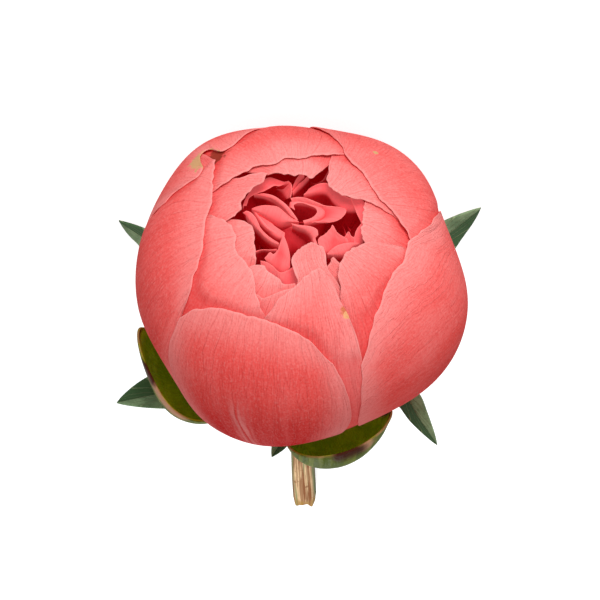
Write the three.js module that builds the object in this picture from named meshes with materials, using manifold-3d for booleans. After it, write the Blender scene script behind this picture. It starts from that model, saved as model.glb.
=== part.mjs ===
// A half-open double peony, cut with a short length of stem and laid on its side on a table.
//
// It is drawn upright first, in the flower's own frame: origin at the middle of the bloom, +Z along the stem
// towards the open tip, azimuth counted from +X. The whole flower is then tipped over, until the outermost
// petal, two leafy bracts and the cut end of the stem rest on the surface. Lengths are millimetres, angles are
// degrees.
//
// Petals and sepals are patches of one closed bloom surface. Each has an outline of ten points, and is fitted
// under the ones that lie outside it, as petals are packed in a bud.
import * as THREE from "three";
import { mergeVertices } from "three/addons/utils/BufferGeometryUtils.js";
import Module from "manifold-3d";

const wasm = await Module();
wasm.setup();

// ---------------------------------------------------------------- driving dimensions
const BLOOM_RADIUS = 39; // at its widest
const BLOOM_TOP = 33.5; // from the middle up to the level of the closed tip
const BLOOM_BOTTOM = 35; // from the middle down to the calyx
const SQUARENESS = 2.25; // 2 is an ellipsoid, more is boxier
const MOUTH_DEPTH = 3.2; // how far the tip sinks in round the opening
const MOUTH_SPREAD = 21; // degrees from the axis over which it sinks
const PETAL = 0.62; // petal thickness
const PETAL_GAP = 0.75; // clear space between one petal and the next
const PETAL_PILE = 4; // more than any petal swells over the bloom surface
const SEPAL = 0.9;
const BRACT = 0.7;
const STEM_RADIUS = 3.1;
const STEM_END = 117.5; // from the middle of the bloom to the cut
const STEM_SWAY = 1; // sideways bow of the stem
const SWAY_START = -46; // level at which the bow begins
const RESTING_HEIGHT = 38.1; // of the bloom's middle, a little less than its radius: it sits on a flat spot
const ROOT = 161; // polar angle at which petals and sepals are rooted
const SEAT_POLAR = 161.8; // and the receptacle's flank stands just clear of their roots

const DEG = Math.PI / 180;
// The tilt at which the round stem's lower edge and the bloom's flat spot touch the same plane.
const END_DISTANCE = Math.hypot(STEM_END, STEM_RADIUS);
const TILT = Math.asin(RESTING_HEIGHT / END_DISTANCE) - Math.atan(STEM_RADIUS / STEM_END);
const DOWN = [0, Math.cos(TILT), -Math.sin(TILT)]; // towards the table, in the flower's frame

const flower = new THREE.Group();
flower.rotation.set(Math.PI / 2 - TILT, 0, Math.PI);
flower.position.set(0, 0, RESTING_HEIGHT);

const colours = {
  petal: new THREE.MeshStandardMaterial({ color: 0xe8625c, roughness: 0.6, metalness: 0 }),
  heart: new THREE.MeshStandardMaterial({ color: 0xd94f4f, roughness: 0.6, metalness: 0 }),
  sepal: new THREE.MeshStandardMaterial({ color: 0x56601e, roughness: 0.6, metalness: 0 }),
  bract: new THREE.MeshStandardMaterial({ color: 0x3f5e3a, roughness: 0.55, metalness: 0 }),
  stem: new THREE.MeshStandardMaterial({ color: 0xa98a5e, roughness: 0.7, metalness: 0 }),
};

// ---------------------------------------------------------------- small helpers
const clamp = (x, low, high) => Math.min(high, Math.max(low, x));
const mix = (a, b, t) => a + (b - a) * t;
const smooth = (x) => x * x * (3 - 2 * x);
const dot = (a, b) => a[0] * b[0] + a[1] * b[1] + a[2] * b[2];

// A point at a distance from the bloom's middle, in a direction given by azimuth and polar angle.
function pointAt(azimuth, polar, distance) {
  const s = Math.sin(polar * DEG);
  return [
    distance * s * Math.cos(azimuth * DEG),
    distance * s * Math.sin(azimuth * DEG),
    distance * Math.cos(polar * DEG),
  ];
}

// A smooth curve through points of any two or three numbers each; its parameter runs from 0 to 1.
function curveThrough(points) {
  const vectors = points.map((p) => new THREE.Vector3(p[0], p[1], p[2] ?? 0));
  const curve = new THREE.CatmullRomCurve3(vectors, false, "catmullrom", 0.5);
  return (t) => curve.getPoint(clamp(t, 0, 1)).toArray();
}

// A closed sheet from two grids of points, front and back, with its rim closed by a strip.
function sheetGeometry(front, back) {
  const rows = front.length;
  const columns = front[0].length;
  const count = rows * columns;
  const at = (i, j) => i * columns + j;
  const index = [];
  for (let i = 0; i < rows - 1; i++) {
    for (let j = 0; j < columns - 1; j++) {
      const [a, b, c, d] = [at(i, j), at(i, j + 1), at(i + 1, j + 1), at(i + 1, j)];
      index.push(a, b, c, a, c, d);
      index.push(count + a, count + c, count + b, count + a, count + d, count + c);
    }
  }
  const rim = [];
  for (let j = 0; j < columns - 1; j++) rim.push(at(0, j));
  for (let i = 0; i < rows - 1; i++) rim.push(at(i, columns - 1));
  for (let j = columns - 1; j > 0; j--) rim.push(at(rows - 1, j));
  for (let i = rows - 1; i > 0; i--) rim.push(at(i, 0));
  rim.forEach((a, k) => {
    const b = rim[(k + 1) % rim.length];
    index.push(a, count + a, b, b, count + a, count + b);
  });
  const geometry = new THREE.BufferGeometry();
  const flat = [...front.flat(), ...back.flat()].flat();
  geometry.setAttribute("position", new THREE.Float32BufferAttribute(flat, 3));
  geometry.setIndex(index);
  geometry.computeVertexNormals();
  return geometry;
}

// The front and back of a sheet of given thickness whose middle is a grid of points.
function thicken(grid, thickness) {
  const rows = grid.length;
  const columns = grid[0].length;
  const sides = [[], []];
  for (let i = 0; i < rows; i++) {
    sides.forEach((side) => side.push([]));
    for (let j = 0; j < columns; j++) {
      const across = new THREE.Vector3(...grid[i][Math.min(j + 1, columns - 1)]);
      across.sub(new THREE.Vector3(...grid[i][Math.max(j - 1, 0)]));
      const along = new THREE.Vector3(...grid[Math.min(i + 1, rows - 1)][j]);
      along.sub(new THREE.Vector3(...grid[Math.max(i - 1, 0)][j]));
      const normal = across.cross(along).setLength(thickness / 2);
      const middle = new THREE.Vector3(...grid[i][j]);
      sides[0][i].push(middle.clone().add(normal).toArray());
      sides[1][i].push(middle.clone().sub(normal).toArray());
    }
  }
  return sides;
}

function add(name, geometry, material) {
  const mesh = new THREE.Mesh(geometry, material);
  mesh.name = name;
  flower.add(mesh);
}

// ---------------------------------------------------------------- the bloom surface
// How far a surface swells at a direction, from its bulges: [azimuth, polar, height, spread in degrees].
function swell(bulges, azimuth, polar) {
  const here = pointAt(azimuth, polar, 1);
  return bulges.reduce((sum, [a, p, height, spread]) => {
    const away = Math.acos(clamp(dot(here, pointAt(a, p, 1)), -1, 1)) / DEG;
    return sum + height * Math.exp(-((away / spread) ** 2));
  }, 0);
}

// Where this bloom stands out or falls in.
const SWELLS = [
  [-60, 117, -3.6, 26],
  [-84, 120, -1.3, 18],
  [208, 105, -3.0, 16],
  [175, 88, -0.6, 20],
  [16, 80, -3.1, 19],
  [78, 58, -1.8, 17],
  [130, 66, 1.5, 16],
];

// Distance from the bloom's middle to its closed surface: a squared ellipsoid that sinks in at the mouth,
// with the bloom's own swells.
function globe(azimuth, polar) {
  const across = Math.abs(Math.sin(polar * DEG)) / BLOOM_RADIUS;
  const along = Math.abs(Math.cos(polar * DEG)) / (polar < 90 ? BLOOM_TOP : BLOOM_BOTTOM);
  const body = (across ** SQUARENESS + along ** SQUARENESS) ** (-1 / SQUARENESS);
  const sunk = MOUTH_DEPTH * Math.exp(-((polar / MOUTH_SPREAD) ** 2));
  return body - sunk + swell(SWELLS, azimuth, polar);
}

function tableDistance(azimuth, polar) {
  const lean = dot(pointAt(azimuth, polar, 1), DOWN);
  return lean > 0.05 ? RESTING_HEIGHT / lean : Infinity;
}

// ---------------------------------------------------------------- packing the petals
// "Room" is the distance still free in every direction, kept on a grid of azimuth and polar angle. A petal
// takes its place as far out as the room allows, and leaves less room to the petals inside it.
const STEP = 3;
const AZIMUTHS = 360 / STEP;
const POLARS = 180 / STEP + 1;
const EASE = 7.5; // degrees over which a petal bends to pass under an edge
const cell = (i, j) => i * AZIMUTHS + (((j % AZIMUTHS) + AZIMUTHS) % AZIMUTHS);
const everyDirection = (value) =>
  Float64Array.from({ length: POLARS * AZIMUTHS }, (_, k) =>
    value((k % AZIMUTHS) * STEP, Math.floor(k / AZIMUTHS) * STEP, k),
  );

// Runs a reduction over a window of EASE degrees, first along polar angle, then along azimuth.
function overWindow(field, reduce) {
  const reach = Math.round(EASE / STEP);
  const down = everyDirection((azimuth, polar, k) => {
    const j = k % AZIMUTHS;
    const i = (k - j) / AZIMUTHS;
    const near = [];
    for (let d = -reach; d <= reach; d++) near.push(field[cell(clamp(i + d, 0, POLARS - 1), j)]);
    return reduce(near);
  });
  return everyDirection((azimuth, polar, k) => {
    const j = k % AZIMUTHS;
    const i = (k - j) / AZIMUTHS;
    const wide = Math.min(Math.round(reach / Math.max(Math.sin(polar * DEG), 0.05)), AZIMUTHS / 2 - 1);
    const near = [];
    for (let d = -wide; d <= wide; d++) near.push(down[cell(i, j + d)]);
    return reduce(near);
  });
}
const least = (values) => Math.min(...values);
const mean = (values) => values.reduce((a, b) => a + b, 0) / values.length;

// Reads a field between its grid points.
function sample(field, azimuth, polar) {
  const x = azimuth / STEP;
  const y = clamp(polar / STEP, 0, POLARS - 1.001);
  const [j, i] = [Math.floor(x), Math.floor(y)];
  const top = mix(field[cell(i, j)], field[cell(i, j + 1)], x - j);
  const low = mix(field[cell(i + 1, j)], field[cell(i + 1, j + 1)], x - j);
  return mix(top, low, y - i);
}

// An outline is ten [azimuth, polar] points: four up the first side, four along the tip, four down the other
// side, with the shoulders shared. This is the patch inside it, blended from its four sides (a Coons patch).
function patch(outline) {
  const along = curveThrough(outline);
  const first = (v) => along(v / 3);
  const tip = (u) => along(1 / 3 + u / 3);
  const second = (v) => along(1 - v / 3);
  const [a, b, c, d] = [first(0), second(0), first(1), second(1)];
  return (u, v) =>
    [0, 1].map((n) => {
      const sides = mix(first(v)[n], second(v)[n], u) + mix(mix(a[n], b[n], u), tip(u)[n], v);
      return sides - mix(mix(a[n], b[n], u), mix(c[n], d[n], u), v);
    });
}

// Whether a direction lies inside an outline, by counting crossings on the unrolled azimuth and polar map.
function insideOf(outline) {
  const along = curveThrough(outline);
  const loop = Array.from({ length: 46 }, (_, k) => along(k / 45));
  return (azimuth, polar) =>
    [-360, 0, 360].some((turn) => {
      let inside = false;
      loop.forEach(([x1, y1], k) => {
        const [x0, y0] = loop[(k + loop.length - 1) % loop.length];
        const crossing = x0 + ((polar - y0) * (x1 - x0)) / (y1 - y0);
        if (y0 > polar !== y1 > polar && azimuth + turn < crossing) inside = !inside;
      });
      return inside;
    });
}

let room = everyDirection((azimuth, polar) => globe(azimuth, polar) + PETAL_PILE);

// Fits one petal into the room and returns its geometry.
function fitPetal({ outline, bulges = [], sink = 0, cells: [wide, high] }) {
  const free = overWindow(overWindow(room, least), mean);
  const outside = everyDirection((azimuth, polar, k) => {
    const own = globe(azimuth, polar) + swell(bulges, azimuth, polar) - sink;
    return Math.min(own, free[k], tableDistance(azimuth, polar));
  });
  const inside = insideOf(outline);
  room = everyDirection((azimuth, polar, k) =>
    inside(azimuth, polar) ? Math.min(room[k], outside[k] - PETAL - PETAL_GAP) : room[k],
  );
  const place = patch(outline);
  const front = [];
  const back = [];
  for (let i = 0; i <= high; i++) {
    const row = Array.from({ length: wide + 1 }, (_, j) => place(j / wide, i / high));
    const reach = row.map(([a, p]) => Math.min(sample(outside, a, p), tableDistance(a, p)));
    front.push(row.map(([azimuth, polar], j) => pointAt(azimuth, polar, reach[j])));
    back.push(row.map(([azimuth, polar], j) => pointAt(azimuth, polar, reach[j] - PETAL)));
  }
  return sheetGeometry(front, back);
}

// ---------------------------------------------------------------- petals, from the outermost in
const OUTER = [11, 10]; // cells across and along
const MIDDLE = [9, 10];
const INNER = [7, 9];
const petals = {
  guard_petal_front: {
    outline: [
      [-118, ROOT], [-126, 114], [-141, 84], [-142, 57], [-123, 43.5], [-99, 45], [-79, 58],
      [-72, 84], [-76, 116], [-92, ROOT],
    ],
    bulges: [[-108, 78, 0.9, 26]],
    cells: OUTER,
  },
  guard_petal_left_shoulder: {
    outline: [
      [84, ROOT], [62, 118], [60, 86], [84, 59], [114, 48], [144, 47], [160, 57], [164, 86],
      [160, 118], [138, ROOT],
    ],
    bulges: [[94, 60, -0.9, 20]],
    cells: OUTER,
  },
  guard_petal_right: {
    outline: [
      [-50, ROOT], [-64, 118], [-70, 84], [-62, 56], [-41, 43], [-13, 43], [12, 60], [28, 86],
      [24, 118], [0, ROOT],
    ],
    bulges: [[-20, 82, 1.1, 26]],
    cells: OUTER,
  },
  guard_petal_left: {
    outline: [
      [168, ROOT], [155, 115], [143, 78], [141, 48], [163, 36], [193, 38], [213, 54], [220, 80],
      [218, 118], [204, ROOT],
    ],
    bulges: [[186, 64, 0.8, 18]],
    cells: OUTER,
  },
  guard_petal_right_shoulder: {
    outline: [
      [14, ROOT], [0, 118], [-9, 80], [-9, 44], [14, 31], [46, 32.5], [73, 45], [86, 80],
      [82, 118], [58, ROOT],
    ],
    bulges: [[44, 62, 0.5, 20]],
    cells: OUTER,
  },
  guard_petal_top: {
    outline: [
      [86, ROOT], [66, 118], [54, 76], [57, 37], [84, 26], [126, 27], [158, 38], [168, 76],
      [156, 118], [128, ROOT],
    ],
    bulges: [[96, 60, -0.4, 20]],
    cells: OUTER,
  },
  second_petal_front: {
    outline: [
      [-104, ROOT], [-112, 118], [-116, 76], [-110, 44], [-97, 31.5], [-77, 25.5], [-67, 34],
      [-66, 66], [-62, 118], [-74, ROOT],
    ],
    bulges: [[-84, 44, 0.6, 14]],
    cells: MIDDLE,
  },
  second_petal_left: {
    outline: [
      [184, ROOT], [174, 118], [166, 76], [171, 37], [190, 26.5], [221, 30], [249, 43], [256, 76],
      [250, 118], [228, ROOT],
    ],
    bulges: [[214, 48, 0.6, 18]],
    cells: MIDDLE,
  },
  second_petal_right: {
    outline: [
      [-62, ROOT], [-74, 118], [-78, 76], [-67, 39], [-57, 26], [-31, 26], [-14, 40], [-6, 76],
      [-14, 118], [-28, ROOT],
    ],
    bulges: [[-46, 40, 0.6, 14]],
    cells: MIDDLE,
  },
  inner_petal_top: {
    outline: [
      [76, ROOT], [62, 112], [54, 62], [60, 25], [76, 18.5], [108, 18.5], [130, 23], [138, 62],
      [126, 112], [108, ROOT],
    ],
    sink: 0.5,
    cells: INNER,
  },
  inner_petal_upper_right: {
    outline: [
      [22, ROOT], [8, 112], [2, 66], [6, 34], [20, 20.5], [48, 16.5], [67, 23], [74, 62],
      [66, 112], [50, ROOT],
    ],
    sink: 0.4,
    cells: INNER,
  },
  inner_petal_upper_left: {
    outline: [
      [130, ROOT], [112, 112], [102, 62], [107, 28], [128, 20.5], [164, 21.5], [187, 28],
      [194, 62], [184, 112], [164, ROOT],
    ],
    sink: 0.6,
    cells: INNER,
  },
  inner_petal_right: {
    outline: [
      [-26, ROOT], [-38, 112], [-44, 62], [-38, 29], [-24, 24.5], [2, 23], [17, 27], [26, 62],
      [18, 112], [2, ROOT],
    ],
    sink: 0.8,
    cells: INNER,
  },
  inner_petal_front: {
    outline: [
      [-96, ROOT], [-102, 112], [-104, 56], [-100, 26], [-90, 17], [-73, 15.5], [-63, 22],
      [-58, 56], [-60, 112], [-72, ROOT],
    ],
    sink: 0.9,
    cells: INNER,
  },
  inner_petal_lower_left: {
    outline: [
      [230, ROOT], [222, 112], [218, 62], [225, 29], [239, 23], [254, 24], [266, 29], [274, 62],
      [270, 112], [256, ROOT],
    ],
    sink: 1.3,
    cells: INNER,
  },
  inner_petal_left: {
    outline: [
      [190, ROOT], [182, 112], [178, 62], [184, 27], [199, 19.5], [219, 21.5], [235, 28],
      [244, 62], [238, 112], [222, ROOT],
    ],
    sink: 1.2,
    cells: INNER,
  },
};
for (const [name, petal] of Object.entries(petals)) add(name, fitPetal(petal), colours.petal);

// ---------------------------------------------------------------- heart of ruffled petals
// Ruffled petals stand on a small core. Each is a ribbon that hangs from a curved rim, [x, y, z] points, and
// narrows towards the core, where its root is sunk.
const CORE_RADIUS = 12.5;
const CORE_HEIGHT = 13; // half its height
const CORE_MIDDLE = -9.4;
const RUFFLE = 0.8;
const ROOT_SHRINK = 0.42; // how much nearer the axis a ruffle's root is than its rim
const ROOT_LEVEL = -6;
const ruffles = [
  [[-12, 6, 25], [-10, 9.5, 27], [-7, 10.5, 27.5], [-4, 10, 27], [-2, 8.5, 27], [-2, 6, 26]],
  [[-8.5, 6.6, 24.5], [-6.5, 6.3, 24], [-4.5, 5, 24], [-2.5, 3.2, 24.5], [-0.5, 1, 25]],
  [[-11, 4, 25.5], [-7, 4, 26.5], [-4, 3, 27], [-2, 1.5, 27], [-1, 0, 26.5]],
  [[-2, 6.5, 27], [1, 6.5, 26.5], [4, 5.5, 26], [6.5, 3.5, 26]],
  [[5.5, 3, 26], [9.5, 3.5, 27], [10, 1.5, 27.5], [7.5, -0.5, 27], [4, -1, 26], [1, -1, 25.5]],
  [[-2, 5, 24], [2, 4.5, 24], [3.8, 3, 24], [3.4, 1, 24.5], [0.5, 0, 25]],
  [[-2, -1, 26], [1.2, -2.5, 26], [3.8, -2, 27], [3.4, -4, 26], [2.5, -6, 24]],
  [[-12.5, 2.5, 26.5], [-10.5, 0, 26], [-9.5, -2.5, 25.5], [-7, -4.5, 25], [-5, -6, 24.5]],
  [[-11, 3.5, 25], [-9, 1, 24.5], [-7.5, -2, 24], [-5, -4, 24]],
  [[-8, -9, 25], [-5.5, -7.5, 26], [-4, -4.5, 27.5], [-3, -7, 26], [-2.5, -10, 24.5]],
  [[-10, -7.5, 25], [-7, -7.5, 25], [-5, -8.5, 24.5]],
  [[4, -5, 25.5], [7, -2.2, 26.5], [8.5, -5, 25.5], [11.5, -4, 26.5], [12.5, -6.5, 25.5]],
  [[5.5, -9, 26], [8, -6.5, 27], [11.5, -6, 27], [9, -9, 26.5], [6, -9.5, 25.5]],
  [[1.5, 7.5, 25.5], [4, 9.5, 27], [6.5, 9.5, 27.5], [9, 7, 27], [11.5, 5, 26.5]],
  [[-2, 9.5, 26], [-0.5, 12, 26.5], [1.5, 12, 26], [-1, 9, 25.5]],
  [[3, 12.5, 26], [5.5, 12.5, 27], [6.5, 10.5, 26]],
  [[10.5, 6, 27], [12.6, 4, 27], [12.4, 1, 26.5], [12.6, -2.5, 26.5]],
  [[-14, -1, 25.5], [-12, -5, 26], [-10, -9, 25.5], [-6.5, -11.5, 25.5], [-3, -12.5, 25.5]],
];

// A closed three.js geometry as a solid for joining.
function solidOf(geometry) {
  const bare = geometry.clone();
  bare.deleteAttribute("normal");
  bare.deleteAttribute("uv");
  const merged = mergeVertices(bare, 1e-4);
  const vertProperties = new Float32Array(merged.attributes.position.array);
  const triVerts = new Uint32Array(merged.index.array);
  return new wasm.Manifold(new wasm.Mesh({ numProp: 3, vertProperties, triVerts }));
}

function geometryOf(solid) {
  const { vertProperties, triVerts } = solid.getMesh();
  const geometry = new THREE.BufferGeometry();
  geometry.setAttribute("position", new THREE.BufferAttribute(vertProperties, 3));
  geometry.setIndex(new THREE.BufferAttribute(triVerts, 1));
  geometry.computeVertexNormals();
  return geometry;
}

function ruffleGeometry(rim) {
  const across = curveThrough(rim);
  const wide = 2 * rim.length - 2;
  const grid = [0.85, 0.4, 0].map((t) =>
    Array.from({ length: wide + 1 }, (_, j) => {
      const [x, y, z] = across(j / wide);
      const shrink = mix(1, ROOT_SHRINK, smooth(t));
      return [x * shrink, y * shrink, mix(z, ROOT_LEVEL, t)];
    }),
  );
  return sheetGeometry(...thicken(grid, RUFFLE));
}

const core = new THREE.SphereGeometry(1, 16, 10).rotateX(Math.PI / 2);
core.scale(CORE_RADIUS, CORE_RADIUS, CORE_HEIGHT).translate(0, 0, CORE_MIDDLE);
const heart = ruffles.reduce((whole, rim) => whole.add(solidOf(ruffleGeometry(rim))), solidOf(core));
add("heart_petals", geometryOf(heart), colours.heart);

// ---------------------------------------------------------------- sepals
// Rounded green sepals cup the bloom from outside. Each hugs the petals at its root and its sides, and
// between them stands off in a belly of some lift. A curl over 0.5 draws the rim in again past the belly.
const SEPAL_CLEARANCE = 0.7;
const SIDE_LIFT = 0.6; // how far its sides stand off half way up
const sepals = {
  sepal_left: {
    outline: [
      [198, ROOT], [191, 144], [187, 127], [186, 110], [199, 102], [215, 109], [228, 127],
      [229, 140], [227, 150], [222, ROOT],
    ],
    lift: 5.4,
    curl: 0.7,
  },
  sepal_front: {
    outline: [
      [-90, ROOT], [-96, 148], [-98, 135], [-96, 123], [-84, 112], [-66, 109], [-49, 116],
      [-47, 130], [-51, 146], [-60, ROOT],
    ],
    lift: 7.6,
    curl: 0.82,
  },
  sepal_right_under: {
    outline: [
      [24, ROOT], [14, 151], [10, 143], [17, 136], [28, 132], [46, 132], [57, 136], [62, 143],
      [58, 151], [48, ROOT],
    ],
    lift: 1.2,
    curl: 0.5,
  },
  sepal_left_under: {
    outline: [
      [130, ROOT], [120, 151], [116, 143], [123, 136], [134, 132], [152, 132], [163, 136],
      [168, 143], [164, 151], [154, ROOT],
    ],
    lift: 1.2,
    curl: 0.5,
  },
};

function sepalGeometry({ outline, lift, curl }) {
  const place = patch(outline);
  const [wide, high] = [8, 7];
  const grid = [];
  for (let i = 0; i <= high; i++) {
    const v = i / high;
    grid.push(
      Array.from({ length: wide + 1 }, (_, j) => {
        const u = j / wide;
        const [azimuth, polar] = place(u, v);
        const hug = globe(azimuth, polar) + SEPAL_CLEARANCE + SEPAL / 2;
        const belly = Math.sin(Math.PI * curl * v ** 1.6) * Math.sin(Math.PI * u);
        const away = hug + lift * belly + SIDE_LIFT * Math.sin(Math.PI * v);
        return pointAt(azimuth, polar, Math.min(away, tableDistance(azimuth, polar) - SEPAL));
      }),
    );
  }
  return sheetGeometry(...thicken(grid, SEPAL));
}
for (const [name, sepal] of Object.entries(sepals)) add(name, sepalGeometry(sepal), colours.sepal);

// ---------------------------------------------------------------- leafy bracts
// Narrow folded leaves that spring from the top of the stem. Each has a midrib through [x, y, z] points and a
// half width. The two on the table side end with their tips flat on it.
const UP = DOWN.map((x) => -x);
const AXIS = [0, 0, 1];
const bracts = {
  bract_right_under: {
    midrib: [[3.6, 2.8, -46.6], [14, 12.5, -46], [27, 26, -37.5], [37.2, 31.4, -27.5], [44.7, 33.9, -19.9]],
    halfWidth: 6,
    face: UP,
    flatTip: true,
  },
  bract_left_under: {
    midrib: [
      [-3.6, 2.8, -46.6], [-14, 12.5, -46], [-28.5, 26, -37.5], [-39.7, 31, -29],
      [-45.5, 32.6, -23.9],
    ],
    halfWidth: 5,
    face: UP,
    flatTip: true,
  },
  bract_left: {
    midrib: [[-4.5, -0.7, -46.6], [-17, -3, -47], [-31, -6.5, -42], [-45, -13, -35]],
    halfWidth: 6.2,
    face: AXIS,
  },
  bract_right: {
    midrib: [
      [3.9, -2.5, -46.6], [14, -4, -48.5], [22, -6, -44.5], [26.3, -8.5, -42.4], [29, -14, -41.4],
      [33.3, -21.5, -41],
    ],
    halfWidth: 3.4,
    face: AXIS,
  },
  bract_front: {
    midrib: [[-1.4, -4.4, -46.6], [-3, -10, -49], [-5, -16.5, -49.5], [-7.2, -21.6, -47.5]],
    halfWidth: 2.4,
    face: AXIS,
  },
};

// Half the width of a blade along its length: a slim stalk, a belly past the middle, then a point.
const bladeShape = (t) => Math.max(Math.sin(Math.PI * t ** 1.15), 0) ** 0.8;
const STALK_HALF = 1.2; // least half width at the stalk
const TIP_HALF = 0.5; // and at the tip
const FOLD = 0.32; // rise of a blade's edges over its midrib, per width

function bractGeometry({ midrib, halfWidth, face, flatTip }) {
  const along = curveThrough(midrib);
  const [wide, high] = [4, 10];
  const axis = new THREE.Vector3(...AXIS);
  const up = new THREE.Vector3(...face);
  const grid = [];
  for (let i = 0; i <= high; i++) {
    const t = i / high;
    const middle = new THREE.Vector3(...along(t));
    const behind = new THREE.Vector3(...along(Math.max(t - 0.02, 0)));
    const ahead = new THREE.Vector3(...along(Math.min(t + 0.02, 1))).sub(behind);
    const side = ahead.clone().cross(axis.clone().lerp(up, smooth(t))).normalize();
    const rise = side.clone().cross(ahead).normalize();
    const half = Math.max(halfWidth * bladeShape(t), mix(STALK_HALF, TIP_HALF, t));
    const fold = flatTip ? FOLD * (1 - t ** 2) : FOLD;
    grid.push(
      Array.from({ length: wide + 1 }, (_, j) => {
        const across = (2 * j) / wide - 1;
        const point = middle.clone().addScaledVector(side, -half * across);
        point.addScaledVector(rise, fold * half * Math.abs(across));
        return point.toArray();
      }),
    );
  }
  const sides = thicken(grid, BRACT);
  // Nothing may dip below the table: what would is laid flat on it.
  const lowest = [0, BRACT];
  sides.forEach((side, n) =>
    side.forEach((row) =>
      row.forEach((p) => {
        const under = dot(p, DOWN) - (RESTING_HEIGHT - lowest[n]);
        if (under > 0) DOWN.forEach((d, axis) => (p[axis] -= d * under));
      }),
    ),
  );
  return sheetGeometry(...sides);
}
for (const [name, bract] of Object.entries(bracts)) add(name, bractGeometry(bract), colours.bract);

// ---------------------------------------------------------------- stem with its receptacle
// The stem swells at the node that bears the bracts, opens into the calyx cup, and ends in the cone on which
// the petals are rooted. It was all grown in one piece.
const onSeat = (distance) => [Math.sin, Math.cos].map((part) => distance * part(SEAT_POLAR * DEG));
const profile = [
  [0, -STEM_END],
  [STEM_RADIUS, -STEM_END],
  [STEM_RADIUS, -102],
  [STEM_RADIUS, -85],
  [STEM_RADIUS, -68],
  [STEM_RADIUS, -54],
  [3.3, -50],
  [3.9, -47.8],
  [3.9, -45.4],
  [4.8, -42.4],
  [8.6, -39.9],
  onSeat(39),
  onSeat(33),
  onSeat(26),
  [4, -23.3],
  [0, -22.9],
];
const stem = new THREE.LatheGeometry(
  profile.map(([radius, height]) => new THREE.Vector2(radius, height)),
  16,
);
stem.rotateX(Math.PI / 2); // a lathe turns about Y; the flower's axis is Z
const stemPoints = stem.attributes.position;
for (let k = 0; k < stemPoints.count; k++) {
  const below = clamp((SWAY_START - stemPoints.getZ(k)) / (SWAY_START + STEM_END), 0, 1);
  stemPoints.setX(k, stemPoints.getX(k) + STEM_SWAY * below ** 2);
}
add("stem", stem, colours.stem);

const root = new THREE.Group();
root.add(flower);
export default root;
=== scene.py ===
"""A half-open coral peony, cut with a short length of stem and laid on its side on a pale table.

Every piece is drawn in the flower's own frame, in millimetres: the origin is the middle of the bloom, and +Z
runs along the stem towards the open tip. The last step of each piece lays it down on the table, in metres.
"""

import math

import bmesh
import bpy
import numpy as np
from mathutils import Matrix, Vector


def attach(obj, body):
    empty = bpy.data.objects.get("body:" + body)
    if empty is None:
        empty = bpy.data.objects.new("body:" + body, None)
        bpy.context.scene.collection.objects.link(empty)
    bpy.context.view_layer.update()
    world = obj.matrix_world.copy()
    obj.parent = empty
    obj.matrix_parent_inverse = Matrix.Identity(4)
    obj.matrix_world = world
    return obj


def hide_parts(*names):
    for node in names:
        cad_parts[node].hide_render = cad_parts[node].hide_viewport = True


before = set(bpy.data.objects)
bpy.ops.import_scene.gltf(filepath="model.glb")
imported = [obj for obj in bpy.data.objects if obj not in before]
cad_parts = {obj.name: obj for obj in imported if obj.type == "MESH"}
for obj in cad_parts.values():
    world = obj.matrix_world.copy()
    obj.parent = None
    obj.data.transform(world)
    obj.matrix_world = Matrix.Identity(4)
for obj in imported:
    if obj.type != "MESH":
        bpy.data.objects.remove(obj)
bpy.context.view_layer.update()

# ------------------------------------------------------------------------------------ table, light and camera
# A white, faintly glowing table, a broad soft lamp low beyond the flower's head, a weak one over the stem,
# and a dim even sky that fills the shadows. The camera looks down on the bloom from its head end, so that the
# stem points down in the picture.
MIDDLE = Vector((0, 0, 0.0381))  # of the bloom
CAMERA_ELEVATION = math.radians(47.4)
CAMERA_DISTANCE = 0.55
CAMERA_LENS = 140.9
PICTURE = 600  # its side, in pixels
BLOOM_IN_PICTURE = (301, 285)  # pixel on which the bloom's middle falls
TABLE_REACH = 3  # from its middle to each side
TABLE_GLOW = 0.62
SKY_STRENGTH = 0.55


def soft_lamp(name, place, target, side, watts):
    """A square area lamp at a place, turned towards a target."""
    lamp = bpy.data.lights.new(name, "AREA")
    lamp.size = side
    lamp.energy = watts
    holder = bpy.data.objects.new(name, lamp)
    holder.location = place
    holder.visible_camera = False
    holder.rotation_euler = (Vector(target) - Vector(place)).to_track_quat("-Z", "Y").to_euler()
    bpy.context.collection.objects.link(holder)


table = bpy.data.meshes.new("table_top")
table_corners = [(TABLE_REACH * x, TABLE_REACH * y, 0) for x, y in ((-1, -1), (1, -1), (1, 1), (-1, 1))]
table.from_pydata(table_corners, [], [(0, 1, 2, 3)])
white = bpy.data.materials.new("white_table")
white.use_nodes = True
shader = white.node_tree.nodes["Principled BSDF"]
shader.inputs["Roughness"].default_value = 0.9
shader.inputs["Emission Color"].default_value = (1, 1, 1, 1)
shader.inputs["Emission Strength"].default_value = TABLE_GLOW
table.materials.append(white)
table_top = bpy.data.objects.new("table_top", table)
bpy.context.collection.objects.link(table_top)
table_top.visible_diffuse = False
table_top.visible_glossy = False

world = bpy.data.worlds.new("studio")
world.use_nodes = True
world.node_tree.nodes["Background"].inputs["Color"].default_value = (1, 1, 1, 1)
world.node_tree.nodes["Background"].inputs["Strength"].default_value = SKY_STRENGTH
bpy.context.scene.world = world
soft_lamp("head_light", (-0.12, -0.95, 0.3), MIDDLE, 0.5, 8.0)
soft_lamp("stem_light", (0.02, 0.15, 0.08), (0, 0.1, 0.01), 0.06, 0.055)

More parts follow.
